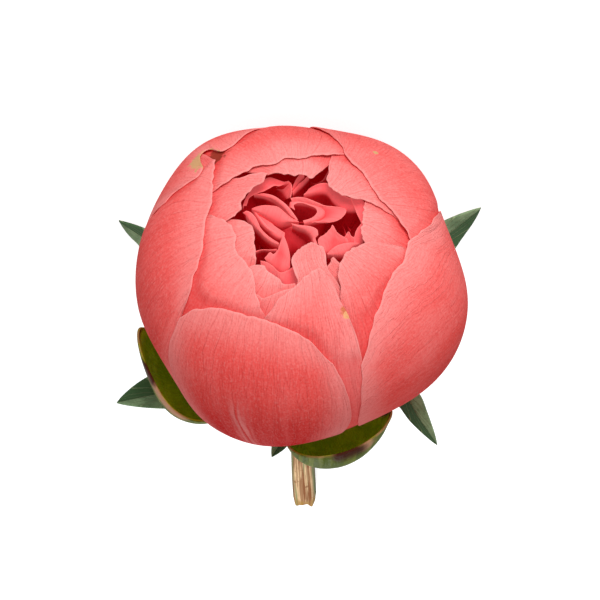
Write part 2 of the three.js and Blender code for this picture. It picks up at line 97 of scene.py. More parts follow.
back = Vector((0, -math.cos(CAMERA_ELEVATION), math.sin(CAMERA_ELEVATION)))
right = Vector((-1, 0, 0))
camera = bpy.data.cameras.new("camera")
camera.lens = CAMERA_LENS
camera.shift_x = (PICTURE / 2 - BLOOM_IN_PICTURE[0]) / PICTURE
camera.shift_y = (BLOOM_IN_PICTURE[1] - PICTURE / 2) / PICTURE
camera.clip_start = 0.01
camera_holder = bpy.data.objects.new("camera", camera)
turn = Matrix((right, back.cross(right), back)).transposed().to_4x4()
camera_holder.matrix_world = Matrix.Translation(MIDDLE + back * CAMERA_DISTANCE) @ turn
bpy.context.collection.objects.link(camera_holder)
bpy.context.scene.camera = camera_holder
bpy.context.scene.view_settings.view_transform = "Standard"

# ------------------------------------------------------------------------------------------------------- stem
# A short woody green-brown stem, cut roughly across. It swells at the node that bears the leafy bracts, and
# opens into the cup in which the petals are rooted. It grew in one piece.
RESTING_HEIGHT = 1000 * MIDDLE.z
STEM_END = 117.5
STEM_RADIUS = 3.1
STEM_SWAY = 1.0
TILT = math.asin(RESTING_HEIGHT / math.hypot(STEM_END, STEM_RADIUS)) - math.atan(STEM_RADIUS / STEM_END)
LAID = np.array(
    [
        [-1, 0, 0],
        [0, -math.sin(TILT), -math.cos(TILT)],
        [0, -math.cos(TILT), math.sin(TILT)],
    ]
)
DOWN = -LAID[2]  # towards the table, in the flower's frame


def laid(points):
    """Points of the flower's frame, in millimetres, as they lie on the table, in metres."""
    return (np.asarray(points, float) @ LAID.T + [0, 0, RESTING_HEIGHT]) / 1000


def spline(points, k, f):
    """The place a fraction f of the way from point k to the next on a Catmull-Rom spline through points."""
    ends = np.concatenate([2 * points[:1] - points[1:2], points, 2 * points[-1:] - points[-2:-1]])
    a, b, c, d = ends[k], ends[k + 1], ends[k + 2], ends[k + 3]
    return b + f * (c - a + f * (2 * a - 5 * b + 4 * c - d + f * (3 * b - a - 3 * c + d))) / 2


def curve(points, t):
    """Places t, from 0 to 1 by length, on the smooth curve through points."""
    points = np.asarray(points, float)
    steps = np.linalg.norm(np.diff(points, axis=0), axis=1)
    knots = np.concatenate([[0], np.cumsum(steps)]) / steps.sum()
    k = np.clip(np.searchsorted(knots, t, side="right") - 1, 0, len(points) - 2)
    return spline(points, k, ((t - knots[k]) / (knots[k + 1] - knots[k]))[..., None])


def smooth(x):
    """Rises from 0 to 1 with a level start and end."""
    x = np.clip(x, 0, 1)
    return x * x * (3 - 2 * x)


def ripple(seed, count, frequency, u, v):
    """Waves between about -1 and 1 over (u, v): a sum of sines with seeded directions and phases."""
    random = np.random.default_rng(seed)
    total = 0
    for _ in range(count):
        heading, phase = random.uniform(0, 2 * np.pi, 2).tolist()
        pace = frequency * random.uniform(0.5, 1.5)
        total = total + np.sin(pace * (u * math.cos(heading) + v * math.sin(heading)) + phase)
    return total / count**0.5 / 1.4


def even(count):
    """Numbers from 0 to 1 at even steps."""
    return np.linspace(0, 1, count)


def crowded(count):
    """Numbers from 0 to 1 that crowd together towards both ends, so that edges are finely divided."""
    return 0.5 - 0.5 * np.cos(np.pi * np.linspace(0, 1, count))


def piece(name, grids, material, slot, node, spread=crowded, **marks):
    """One object from grids of points in the flower's frame, each mapped to (u, v) by its columns and rows,
    which are spread from 0 to 1. Grids that meet are welded into one closed skin with its faces outwards.
    marks are numbers for every point of every grid, such as the distance from the free edge, kept for the
    material to read."""
    mesh = bpy.data.meshes.new(name)
    corners, maps, start = [], [], 0
    for grid in grids:
        rows, columns = grid.shape[:2]
        index = start + np.arange(rows * columns).reshape(rows, columns)
        u, v = np.meshgrid(spread(columns), spread(rows))
        for values, store in ((index, corners), (np.stack([u, v], -1), maps)):
            round_face = [values[:-1, :-1], values[:-1, 1:], values[1:, 1:], values[1:, :-1]]
            store.append(np.stack(round_face, 2).reshape(-1, 2 if store is maps else 1))
        start += rows * columns
    corners = np.concatenate(corners).ravel()
    mesh.vertices.add(start)
    mesh.vertices.foreach_set("co", laid(np.concatenate([g.reshape(-1, 3) for g in grids])).ravel())
    mesh.loops.add(len(corners))
    mesh.loops.foreach_set("vertex_index", corners)
    mesh.polygons.add(len(corners) // 4)
    mesh.polygons.foreach_set("loop_start", np.arange(0, len(corners), 4))
    mesh.uv_layers.new(name="surface").data.foreach_set("uv", np.concatenate(maps).ravel())
    for mark, numbers in marks.items():
        kept = mesh.attributes.new(mark, "FLOAT", "POINT")
        kept.data.foreach_set("value", np.concatenate([n.ravel() for n in numbers]))
    mesh.update(calc_edges=True)
    welded = bmesh.new()
    welded.from_mesh(mesh)
    bmesh.ops.remove_doubles(welded, verts=welded.verts, dist=1e-7)
    bmesh.ops.recalc_face_normals(welded, faces=welded.faces)
    welded.to_mesh(mesh)
    welded.free()
    mesh.shade_smooth()
    mesh.materials.append(material)
    made = bpy.data.objects.new(name, mesh)
    bpy.context.collection.objects.link(made)
    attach(made, "root")
    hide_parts(node)
    return made


class Value:
    """A socket in a material's node tree. Arithmetic adds Math nodes, and node() adds any other node."""

    def __init__(self, tree, socket):
        self.tree = tree
        self.socket = socket

    def node(self, kind, settings, sockets, output=0):
        """Adds a node of a kind, makes its settings and fills its sockets with numbers, colours or values."""
        added = self.tree.nodes.new(kind)
        for setting, choice in settings.items():
            setattr(added, setting, choice)
        for socket, given in sockets.items():
            if isinstance(given, Value):
                self.tree.links.new(given.socket, added.inputs[socket])
            else:
                added.inputs[socket].default_value = given
        return Value(self.tree, added.outputs[output])

    def math(self, operation, *numbers):
        return self.node("ShaderNodeMath", {"operation": operation}, dict(enumerate(numbers)))

    def __add__(self, other):
        return self.math("ADD", self, other)

    def __sub__(self, other):
        return self.math("SUBTRACT", self, other)

    def __rsub__(self, other):
        return self.math("SUBTRACT", other, self)

    def __mul__(self, other):
        return self.math("MULTIPLY", self, other)

    __radd__ = __add__
    __rmul__ = __mul__

    def most(self, other):
        return self.math("MAXIMUM", self, other)

    def off(self, middle):
        """How far the value is from a middle one, either way."""
        return (self - middle).most(middle - self)

    def mark(self, name):
        """The number of this name kept at each point of the mesh."""
        return self.node("ShaderNodeAttribute", {"attribute_name": name}, {}, "Fac")

    def part(self, axis):
        """One coordinate of a vector: 0, 1 or 2."""
        return self.node("ShaderNodeSeparateXYZ", {}, {0: self}, axis)

    def step(self, low, high):
        """A mask that rises smoothly from 0 where the value is low to 1 where it is high."""
        sockets = {"Value": self, "From Min": low, "From Max": high}
        if low > high:
            sockets = {"Value": self, "From Min": high, "From Max": low, "To Min": 1.0, "To Max": 0.0}
        return self.node("ShaderNodeMapRange", {"interpolation_type": "SMOOTHSTEP"}, sockets)

    def noise(self, scale, detail=3.0):
        """Cloudy noise, about 0.2 to 0.8, over a vector."""
        return self.node("ShaderNodeTexNoise", {}, {"Vector": self, "Scale": scale, "Detail": detail})

    def stretched(self, x, y, z=1.0):
        """A vector with its coordinates multiplied."""
        return self.node("ShaderNodeVectorMath", {"operation": "MULTIPLY"}, {0: self, 1: (x, y, z)})

    def vector(self, second, third=0.0):
        """A vector of this value and two others."""
        return self.node("ShaderNodeCombineXYZ", {}, {0: self, 1: second, 2: third})

    def near(self, point, reach):
        """A mask that falls from 1 at a point of the flower's frame to 0 at a distance, in millimetres."""
        sockets = {0: self, 1: tuple(laid(point))}
        distance = self.node("ShaderNodeVectorMath", {"operation": "DISTANCE"}, sockets, "Value")
        return distance.step(reach / 1000, 0.0)

    def tint(self, first, second):
        """The first colour where this mask is 0, the second where it is 1."""
        return self.node("ShaderNodeMix", {"data_type": "RGBA"}, {0: self, 6: first, 7: second}, 2)


def colour(red, green, blue):
    """A colour given as it looks on a screen, from 0 to 255, as the linear colour that a shader takes."""
    linear = [((c / 255 + 0.055) / 1.055) ** 2.4 if c > 10 else c / 3295 for c in (red, green, blue)]
    return (*linear, 1.0)


def finish(name, roughness, gloss=0.5, glow=0.0):
    """Starts a material. Returns it, with its (u, v) map and its place on the object as values. glow is the
    strength of the painted light that it gives off, which stands in for light shining through a thin petal or
    sepal."""
    material = bpy.data.materials.new(name)
    material.use_nodes = True
    tree = material.node_tree
    shader = tree.nodes["Principled BSDF"]
    shader.inputs["Roughness"].default_value = roughness
    shader.inputs["Specular IOR Level"].default_value = gloss
    shader.inputs["Emission Strength"].default_value = glow
    source = tree.nodes.new("ShaderNodeTexCoord")
    return material, Value(tree, source.outputs["UV"]), Value(tree, source.outputs["Object"])


def coat(material, base, roughness=None, height=None, depth=0.1, shine=None):
    """Links colour and roughness to a material's shader, a height, in units of depth millimetres, as bump,
    and the colour of the painted light that it gives off, in place of light that shines through."""
    tree = material.node_tree
    shader = tree.nodes["Principled BSDF"]
    tree.links.new(base.socket, shader.inputs["Base Color"])
    if roughness is not None:
        tree.links.new(roughness.socket, shader.inputs["Roughness"])
    if shine is not None:
        tree.links.new(shine.socket, shader.inputs["Emission Color"])
    if height is not None:
        bump = height.node("ShaderNodeBump", {}, {"Height": height, "Distance": depth / 1000})
        tree.links.new(bump.socket, shader.inputs["Normal"])
    return material


def layered(base, *layers):
    """A base colour with others laid over it in turn, each (mask, colour) as far as its mask nears 1."""
    for mask, tone in layers:
        base = mask.tint(base, tone)
    return base


def axis_level(place):
    """How far up the flower's axis a place lies, in millimetres, 0 at the bloom's middle."""
    along = tuple(LAID @ [0, 0, 1])
    turned = place.node("ShaderNodeVectorMath", {"operation": "DOT_PRODUCT"}, {0: place, 1: along}, "Value")
    return turned * 1000.0 - RESTING_HEIGHT * along[2]


STEM_TAN = colour(248, 212, 164)
STEM_BROWN = colour(140, 88, 52)
STEM_SHADED_SIDE = colour(82, 98, 66)
STEM_CUT = colour(168, 128, 52)
STEM_GREEN = colour(140, 146, 100)
# painted shade: the stem's top, inside the bloom, is dark red like the shaded depths round it
STEM_DEPTH_SHADE_RED = colour(150, 20, 24)  # of its top, inside the bloom
STEM_NODE = -46  # level of the node that bears the bracts
CUT_LEVEL = -112  # under it, the end is ragged
stem_profile = [
    (STEM_RADIUS, -STEM_END),
    (STEM_RADIUS, -102),
    (STEM_RADIUS, -85),
    (STEM_RADIUS, -68),
    (STEM_RADIUS, -54),
    (3.3, -50),
    (3.9, -47.8),
    (3.9, -45.4),
    (4.8, -42.4),
    (8.6, -39.9),
    (12.2, -37),
    (10.3, -31.4),
    (8.1, -24.7),
    (4, -23.3),
    (0, -22.9),
]


def stem_surface(around, along):
    """Points of the stem's wall: the profile turned round its axis, fluted lengthwise, with a ragged end."""
    radius, level = np.moveaxis(curve(stem_profile, along), -1, 0)
    angle = 2 * np.pi * around
    flutes = 0.07 * np.sin(7 * angle + 0.8) + 0.05 * np.sin(12 * angle + 2.1 + 0.02 * level)
    bare = smooth((STEM_NODE - level) / 4)
    radius = np.maximum(radius + bare * (flutes + 0.1 * ripple(4, 4, 0.09, level, 9 * around)), 0)
    ragged = 0.5 + 1.3 * np.cos(4 * angle) + 0.35 * np.sin(9 * angle + 1)
    level = level + ragged * smooth((CUT_LEVEL - level) / 5)
    sway = STEM_SWAY * np.clip((STEM_NODE - level) / (STEM_END + STEM_NODE), 0, 1) ** 2
    return np.stack([radius * np.cos(angle) + sway, radius * np.sin(angle), level], -1)


around, along = np.meshgrid(even(73), even(260))
around[:, -1] = 0
wall = stem_surface(around, along)
cut_centre = wall[0, :-1].mean(0)
inward = even(9)[:, None, None]
cut = wall[0] + (cut_centre - wall[0]) * inward
torn = 0.3 * ripple(9, 4, 3, cut[..., 0], cut[..., 1]) * smooth(inward[..., 0] * 3)
cut[..., 2] += 0.5 * np.sin(np.pi * inward[..., 0]) + torn
cut[-1] = cut[-1].mean(0)

material, uv, place = finish("stem_bark", 0.65, gloss=0.1)
fibres = uv.stretched(26, 5).noise(1.0, 5.0)
streaks = uv.stretched(9, 2.2).noise(1.0, 3.0)
spots = place.noise(420, 2.0)
from_upper_side = uv.part(0).off(0.75)  # which lies three quarters of the way round
at_cut = axis_level(place).step(CUT_LEVEL - 0.5, CUT_LEVEL - 3.5)
bark = layered(
    STEM_BROWN,
    (fibres.step(0.36, 0.66), STEM_TAN),
    (streaks.step(0.52, 0.66), STEM_GREEN),
    (streaks.step(0.44, 0.36) * 0.8, STEM_BROWN),
    (spots.step(0.6, 0.72) * 0.7, STEM_BROWN),
    # painted shade: the stem turns darker green away from its upper side, on the sides turned from the light
    (from_upper_side.step(0.15, 0.23) * 0.8, STEM_SHADED_SIDE),
    (at_cut * fibres.step(0.3, 0.6) * 0.8, STEM_CUT),
    # painted shade: dark red on the top, which lies inside the bloom
    (uv.part(1).step(0.78, 0.86), STEM_DEPTH_SHADE_RED),
)
coat(material, bark, fibres * 0.3 + 0.5, fibres * 0.7 + spots * 0.5, 0.5)
piece("stem_wood", [wall, cut], material, "stem", "stem", even)

# ----------------------------------------------------------------------------------------------- leafy bracts
# Narrow pointed leaves, folded along the midrib, that spring from the top of the stem. They are a greyer
# green, clouded with dark green, with side veins that run forward to the edge. One half of each, beside the
# midrib, is painted dark green as shade, for the half that the fold turns from the light; the lit half stays
# greyer.
BRACT = 0.55  # thickness of the blade
BRACT_EDGE = 0.35  # over which it thins to its edge
FOLD = 0.32  # rise of a blade's edges over its midrib, per width
AXIS = np.array([0.0, 0.0, 1.0])
UP = -DOWN
bracts = {
    "bract_right_under": {
        "midrib": [
            (3.6, 2.8, -46.6), (14, 12.5, -46), (27, 26, -37.5), (37.2, 31.4, -27.5), (44.7, 33.9, -19.9),
        ],
        "half_width": 6,
        "face": UP,
        "flat_tip": True,
    },
    "bract_left_under": {
        "midrib": [
            (-3.6, 2.8, -46.6), (-14, 12.5, -46), (-28.5, 26, -37.5), (-39.7, 31, -29), (-45.5, 32.6, -23.9),
        ],
        "half_width": 5,
        "face": UP,
        "flat_tip": True,
    },
    "bract_left": {
        "midrib": [(-4.5, -0.7, -46.6), (-17, -3, -47), (-31, -6.5, -42), (-45, -13, -35)],
        "half_width": 6.2,
    },
    "bract_right": {
        "midrib": [
            (3.9, -2.5, -46.6), (14, -4, -48.5), (22, -6, -44.5), (26.3, -8.5, -42.4), (29, -14, -41.4),
            (33.3, -21.5, -41),
        ],
        "half_width": 3.4,
    },
    "bract_front": {
        "midrib": [(-1.4, -4.4, -46.6), (-3, -10, -49), (-5, -16.5, -49.5), (-7.2, -21.6, -47.5)],
        "half_width": 2.4,
    },
}


def unit(vectors):
    """Vectors made one long."""
    return vectors / np.linalg.norm(vectors, axis=-1, keepdims=True)


def half_round(distance, reach):
    """Rises from 0 at an edge to 1 at a reach from it, as a quarter of a circle does."""
    return np.sqrt(1 - (1 - np.clip(distance / reach, 0, 1)) ** 2)


def sheet(grid, thickness, rounding):
    """The two faces of a thin sheet round a middle grid, and each point's distance from the free edge.
    Thickness falls to nothing over the last stretch, as a half round, so that the faces meet in one edge."""
    across = np.gradient(grid, axis=1)
    along = np.gradient(grid, axis=0)
    normal = unit(np.cross(across, along))
    side = np.linalg.norm(np.diff(grid, axis=1), axis=-1)
    from_first = np.pad(np.cumsum(side, axis=1), ((0, 0), (1, 0)))
    from_second = from_first[:, -1:] - from_first
    forward = np.linalg.norm(np.diff(grid, axis=0), axis=-1)
    from_root = np.pad(np.cumsum(forward, axis=0), ((1, 0), (0, 0)))
    from_tip = from_root[-1:] - from_root
    rim = np.minimum(np.minimum(from_first, from_second), from_tip)
    half = thickness / 2 * half_round(np.minimum(rim, from_root), rounding)[..., None] * normal
    return (grid + half, grid - half), rim


def blade(midrib, half_width, seed, face=AXIS, flat_tip=False):
    """A leaf's middle surface: at each place on the midrib it spreads sideways by a width that swells past
    the middle and runs out to a point, both halves rising from the midrib, with a faintly waved edge."""
    t = crowded(90)
    s = np.linspace(-1, 1, 45)
    middle = curve(midrib, t)
    ahead = unit(np.gradient(middle, axis=0))
    facing = AXIS + smooth(t)[:, None] * (face - AXIS)
    side = unit(np.cross(ahead, facing))
    rise = unit(np.cross(side, ahead))
    half = np.maximum(half_width * np.maximum(np.sin(np.pi * t**1.15), 0) ** 0.8, (0.9 - 0.75 * t))
    fold = FOLD * (1 - t**2) if flat_tip else FOLD + 0 * t
    lift = np.sqrt(s**2 + 0.012) - 0.11
    wave = 0.045 * half_width * np.sin(9 * t[:, None] + seed + 1.5 * s) * s**2 * np.sin(np.pi * t)[:, None]
    points = middle[:, None] - side[:, None] * (half[:, None] * s)[..., None]
    return points + rise[:, None] * (fold[:, None] * half[:, None] * lift + wave)[..., None]


def above_table(faces):
    """The two faces of a sheet, lifted together to the table wherever one would lie under it."""
    under = np.maximum(np.maximum(faces[0] @ DOWN, faces[1] @ DOWN) - RESTING_HEIGHT, 0)[..., None]
    return tuple(f - under * DOWN for f in faces)


SHINE_NONE = (0.0, 0.0, 0.0, 1.0)
LEAF_DARK = colour(56, 90, 54)
LEAF_GREY = colour(140, 168, 126)
LEAF_RIB = colour(170, 190, 140)


def leaf_finish(name, shaded_side):
    """A leaf's skin. shaded_side is 0 or 1, the side of the midrib that is painted dark green, as shade."""
    material, uv, place = finish(name, 0.5, gloss=0.2)
    from_rib = uv.part(0).off(0.5)
    slant = from_rib * 34.0 - uv.part(1) * 60.0
    veins = slant.math("SINE", slant).step(0.82, 1.0)
    cloudy = place.noise(260, 4.0)
    grain = place.noise(1500, 2.0)
    half = uv.part(0).step(0.47, 0.53)
    shaded_half = half if shaded_side else 1 - half
    green = layered(
        LEAF_GREY,
        (cloudy.step(0.35, 0.7) * 0.5 + 0.1, LEAF_DARK),
        # painted shade: one half of the blade turns dark green, as if turned from the light
        (shaded_half * 0.92, LEAF_DARK),
        (veins * 0.35, LEAF_RIB),
        (from_rib.step(0.03, 0.0) * 0.7, LEAF_RIB),
        (grain.step(0.5, 0.75) * 0.3, LEAF_DARK),
    )
    height = veins * 0.6 - from_rib.step(0.05, 0.0) * 0.8 + grain * 0.3 + cloudy * 0.6
    return coat(material, green, grain * 0.3 + 0.38, height, 0.35)


for seed, (node, shape) in enumerate(bracts.items()):
    faces, rim = sheet(blade(seed=seed, **shape), BRACT, BRACT_EDGE)
    skin = leaf_finish(node + "_green", shaded_side=int(node == "bract_front"))
    piece("leafy_" + node, above_table(faces), skin, "bract", node)

# ----------------------------------------------------------------------------------------------------- sepals
# Thick rounded cups that shielded the bud: olive green, flushed with maroon, with a thin dry tan rim. They
# grow from the receptacle and stand off a little from the petals.
swells = [  # where this bloom stands out or falls in: azimuth, polar angle, height, spread
    (-60, 117, -3.6, 26),
    (-84, 120, -1.3, 18),
    (208, 105, -3.0, 16),
    (175, 88, -0.6, 20),
    (16, 80, -3.1, 19),
    (78, 58, -1.8, 17),
    (130, 66, 1.5, 16),
]
BLOOM_RADIUS = 39
BLOOM_TOP = 33.5
BLOOM_BOTTOM = 35
SQUARENESS = 2.25
MOUTH_DEPTH = 3.2
MOUTH_SPREAD = 21
ROOT = 161  # polar angle at which every petal and sepal is rooted
SEPAL = 0.6  # thickness
SEPAL_EDGE = 0.4
SEPAL_CLEARANCE = 0.15


def directions(azimuth, polar):
    """Unit vectors from the bloom's middle, from azimuth and polar angle in degrees."""
    a, p = np.radians(azimuth), np.radians(polar)
    return np.stack([np.sin(p) * np.cos(a), np.sin(p) * np.sin(a), np.cos(p)], -1)


def swelling(bulges, azimuth, polar):
    """How far a surface swells outwards: round hills of (azimuth, polar, height, spread)."""
    here = directions(azimuth, polar)
    total = 0
    for a, p, height, spread in bulges:
        apart = np.degrees(np.arccos(np.clip(here @ directions(a, p), -1, 1)))
        total = total + height * np.exp(-((apart / spread) ** 2))
    return total


def globe(azimuth, polar):
    """Distance to the closed bloom's surface: a squared ellipsoid, sunk in at the mouth, with its swells."""
    p = np.radians(polar)
    height = np.where(np.asarray(polar) < 90, BLOOM_TOP, BLOOM_BOTTOM)
    body = (np.abs(np.sin(p)) / BLOOM_RADIUS) ** SQUARENESS + (np.abs(np.cos(p)) / height) ** SQUARENESS
    sunk = MOUTH_DEPTH * np.exp(-((polar / MOUTH_SPREAD) ** 2))
    return body ** (-1 / SQUARENESS) - sunk + swelling(swells, azimuth, polar)


def table_distance(azimuth, polar):
    """Distance from the bloom's middle to the table, or far away where a direction doesn't lead to it."""
    lean = directions(azimuth, polar) @ DOWN
    return np.where(lean > 0.05, RESTING_HEIGHT / np.maximum(lean, 0.05), 1e3)


def outlined(first, tip, second, u, v):
    """The (azimuth, polar) patch inside an outline, a Coons patch: its first side and its second run up from
    the root, and its tip runs from the end of the first to the end of the second."""
    low, high = curve(first, v)[:, None], curve(second, v)[:, None]
    root = np.array(first[0]) + (np.array(second[0]) - first[0]) * u[:, None]
    over = curve([first[-1], *tip, second[-1]], u)
    u, v = u[None, :, None], v[:, None, None]
    corners = (1 - v) * root + v * (over[:1] + (over[-1:] - over[:1]) * u[0])
    return low * (1 - u) + high * u + root * (1 - v) + over * v - corners


sepals = {
    "sepal_left": {
        "first": [(198, ROOT), (189, 142), (186, 110)],
        "tip": [(190, 104), (199, 102), (207, 103.5), (213, 107.5), (219, 113), (225, 120)],
        "second": [(222, ROOT), (228, 147), (228, 128)],
        "lift": 5.4,
        "curl": 0.7,
    },
    "sepal_front": {
        "first": [(-90, ROOT), (-98, 146), (-96, 123)],
        "tip": [(-91, 116.5), (-84, 112.5), (-75, 110), (-66, 109.5), (-57, 111)],
        "second": [(-60, ROOT), (-50, 143), (-49, 116)],
        "lift": 7.6,
        "curl": 0.82,
    },
}
for node, azimuth in (("sepal_right_under", 36), ("sepal_left_under", 142)):  # hidden by the bloom
    sepals[node] = {
        "first": [(azimuth - 12, ROOT), (azimuth - 22, 151), (azimuth - 26, 143)],
        "tip": [(azimuth - 19, 136), (azimuth - 8, 132), (azimuth + 10, 132), (azimuth + 21, 136)],
        "second": [(azimuth + 12, ROOT), (azimuth + 22, 151), (azimuth + 26, 143)],
        "lift": 1.2,
        "curl": 0.5,
    }


def cup(first, tip, second, lift, curl, seed):
    """A sepal's middle surface: it hugs the bloom at root and sides, and stands off in a belly between them.
    Past the belly, the rim is drawn in again if curl is over a half. The rim is nicked and waved a little."""
    u, v = crowded(100), crowded(90)
    azimuth, polar = np.moveaxis(outlined(first, tip, second, u, v), -1, 0)
    v = v[:, None]
    polar = polar + 0.5 * v**4 * ripple(seed + 3, 5, 30, u, 0 * v)
    belly = np.sin(np.pi * curl * v**1.6) * np.sin(np.pi * u)
    away = globe(azimuth, polar) + SEPAL_CLEARANCE + SEPAL / 2 + lift * belly + 0.6 * np.sin(np.pi * v)
    away = away + 0.2 * ripple(seed, 5, 9, u, v) * v
    away = np.minimum(away, table_distance(azimuth, polar) - SEPAL)
    return directions(azimuth, polar) * away[..., None]


# OLIVE and OLIVE_SHADE are painted far lighter than the sepal's own olive, as painted light in the shade
# inside the cup; OLIVE_SHADE also mottles the outside.
OLIVE = colour(190, 214, 36)
OLIVE_SHADE = colour(136, 150, 16)
SEPAL_SHINE = (0.12, 0.26, 0.0, 1.0)
CALYX_GREEN = colour(88, 104, 24)
CALYX_LIME = colour(140, 148, 50)
MAROON = colour(70, 16, 14)
DRY_RIM = colour(204, 150, 116)
dry_places = [(directions(-64, 109) * 44, 8), (directions(214, 112) * 43, 15)]  # and how far they reach
maroon_places = [(directions(-73, 110) * 44.5, 9), (directions(206, 104) * 43, 6)]
material, uv, place = finish("sepal_skin", 0.5, gloss=0.06, glow=0.1)
side = uv.mark("rim")  # above 0 outside, under 0 inside
rim = side.off(0.0)
cloudy = place.noise(190, 4.0)
ribs = uv.stretched(26, 3).noise(1.0, 3.0)
grain = place.noise(1500, 2.0)
inner = layered(OLIVE, (cloudy.step(0.38, 0.62) * 0.7, OLIVE_SHADE), (ribs.step(0.5, 0.7) * 0.35, CALYX_LIME))
outer = layered(
    CALYX_GREEN,
    (ribs.step(0.4, 0.7) * 0.7, CALYX_LIME),
    (grain.step(0.55, 0.8) * 0.3, OLIVE_SHADE),
)
for point, reach in dry_places:
    dried = (place.near(point, reach) * 2.0 + cloudy - 0.9).step(0.2, 0.9) * rim.step(4.5, 1.5)
    outer = dried.tint(outer, DRY_RIM)
green = layered(
    inner,
    (side.step(-0.05, 0.05), outer),
    (rim.step(0.5, 0.2) * cloudy.step(0.35, 0.6) * 0.6, DRY_RIM),
    (side.step(-1.6, -0.4) * side.step(-0.15, -0.35) * cloudy.step(0.35, 0.55) * 0.8, MAROON),
)
for point, reach in maroon_places:
    flush = (place.near(point, reach) * 2.2 + cloudy + ribs * 0.6 - 1.0).step(0.1, 0.9) * rim.step(5.5, 1.0)
    green = (flush * 0.95).tint(green, MAROON)
# painted light: the inside of each sepal, away from its rim, glows green to lighten its shade
shine = side.step(-0.8, -2.5).tint(SHINE_NONE, SEPAL_SHINE)
coat(material, green, grain * 0.3 + 0.3, ribs * 1.0 + grain * 0.3 + cloudy * 0.6, 0.4, shine)
for seed, (node, shape) in enumerate(sepals.items()):
    faces, rim_distance = sheet(cup(seed=seed, **shape), SEPAL, SEPAL_EDGE)
    piece("cup_" + node, above_table(faces), material, "sepal", node, rim=(rim_distance, -rim_distance))

# ----------------------------------------------------------------------------------------------- guard petals
# The six broad outer petals that cup the bloom, thin and satiny, coral with paler edges and fine lengthwise
# veins. They overlap as in a bud: each is fitted under the ones outside it.
PETAL = 0.3  # thickness
PETAL_EDGE = 0.3
PETAL_GAP = 0.1
FLARE = 0.02  # by which an edge stands out
FLARE_REACH = 1.6  # from the edge
BLEND = 0.3  # over which a petal bends from its own surface to the one above it
EASE = 3.5  # degrees over which a petal bends to pass under an edge
AZIMUTHS, POLARS = np.meshgrid(np.arange(360), np.arange(181))  # every whole degree
room = np.full(AZIMUTHS.shape, 4.0)  # free distance over the bloom's surface, in every direction


def eased(field):
    """The field lowered to the least value within EASE degrees, twice over, then averaged over as much."""
    reach = math.ceil(EASE)
    wide = np.minimum(np.round(reach / np.maximum(np.sin(np.radians(POLARS)), 0.05)), 60)
    rows = np.arange(181)
    for averaged in (False, True):
        down = [field[np.clip(rows + d, 0, 180)] for d in range(-reach, reach + 1)]
        field = np.mean(down, axis=0) if averaged else np.min(down, axis=0)
        total, count = field.copy(), np.ones_like(field)
        for d in range(1, int(wide.max()) + 1):
            for shifted in (np.roll(field, d, axis=1), np.roll(field, -d, axis=1)):
                if averaged:
                    total += np.where(wide >= d, shifted, 0)
                    count += wide >= d
                else:
                    total = np.where(wide >= d, np.minimum(total, shifted), total)
        field = total / count
    return field


def sampled(field, azimuth, polar):
    """A field read between its whole degrees."""
    j, i = np.floor(azimuth).astype(int), np.clip(np.floor(polar).astype(int), 0, 179)
    x, y = azimuth - j, polar - i
    upper = field[i, j % 360] * (1 - x) + field[i, (j + 1) % 360] * x
    lower = field[i + 1, j % 360] * (1 - x) + field[i + 1, (j + 1) % 360] * x
    return upper * (1 - y) + lower * y


def inside(first, tip, second):
    """Which whole degrees lie inside an outline: those from which an odd number of its edges is crossed."""
    t = np.linspace(0, 1, 40)
    over = [first[-1], *tip, second[-1]]
    loop = np.concatenate([curve(first, t), curve(over, t), curve(second, t)[::-1]])
    found = np.zeros(AZIMUTHS.shape, bool)
    for turn in (-360, 0, 360):
        odd = np.zeros(AZIMUTHS.shape, bool)
        for (x0, y0), (x1, y1) in zip(loop, np.roll(loop, -1, axis=0)):
            if y0 != y1:
                crossing = x0 + (POLARS - y0) * (x1 - x0) / (y1 - y0)
                odd ^= ((y0 > POLARS) != (y1 > POLARS)) & (AZIMUTHS + turn < crossing)
        found |= odd
    return found


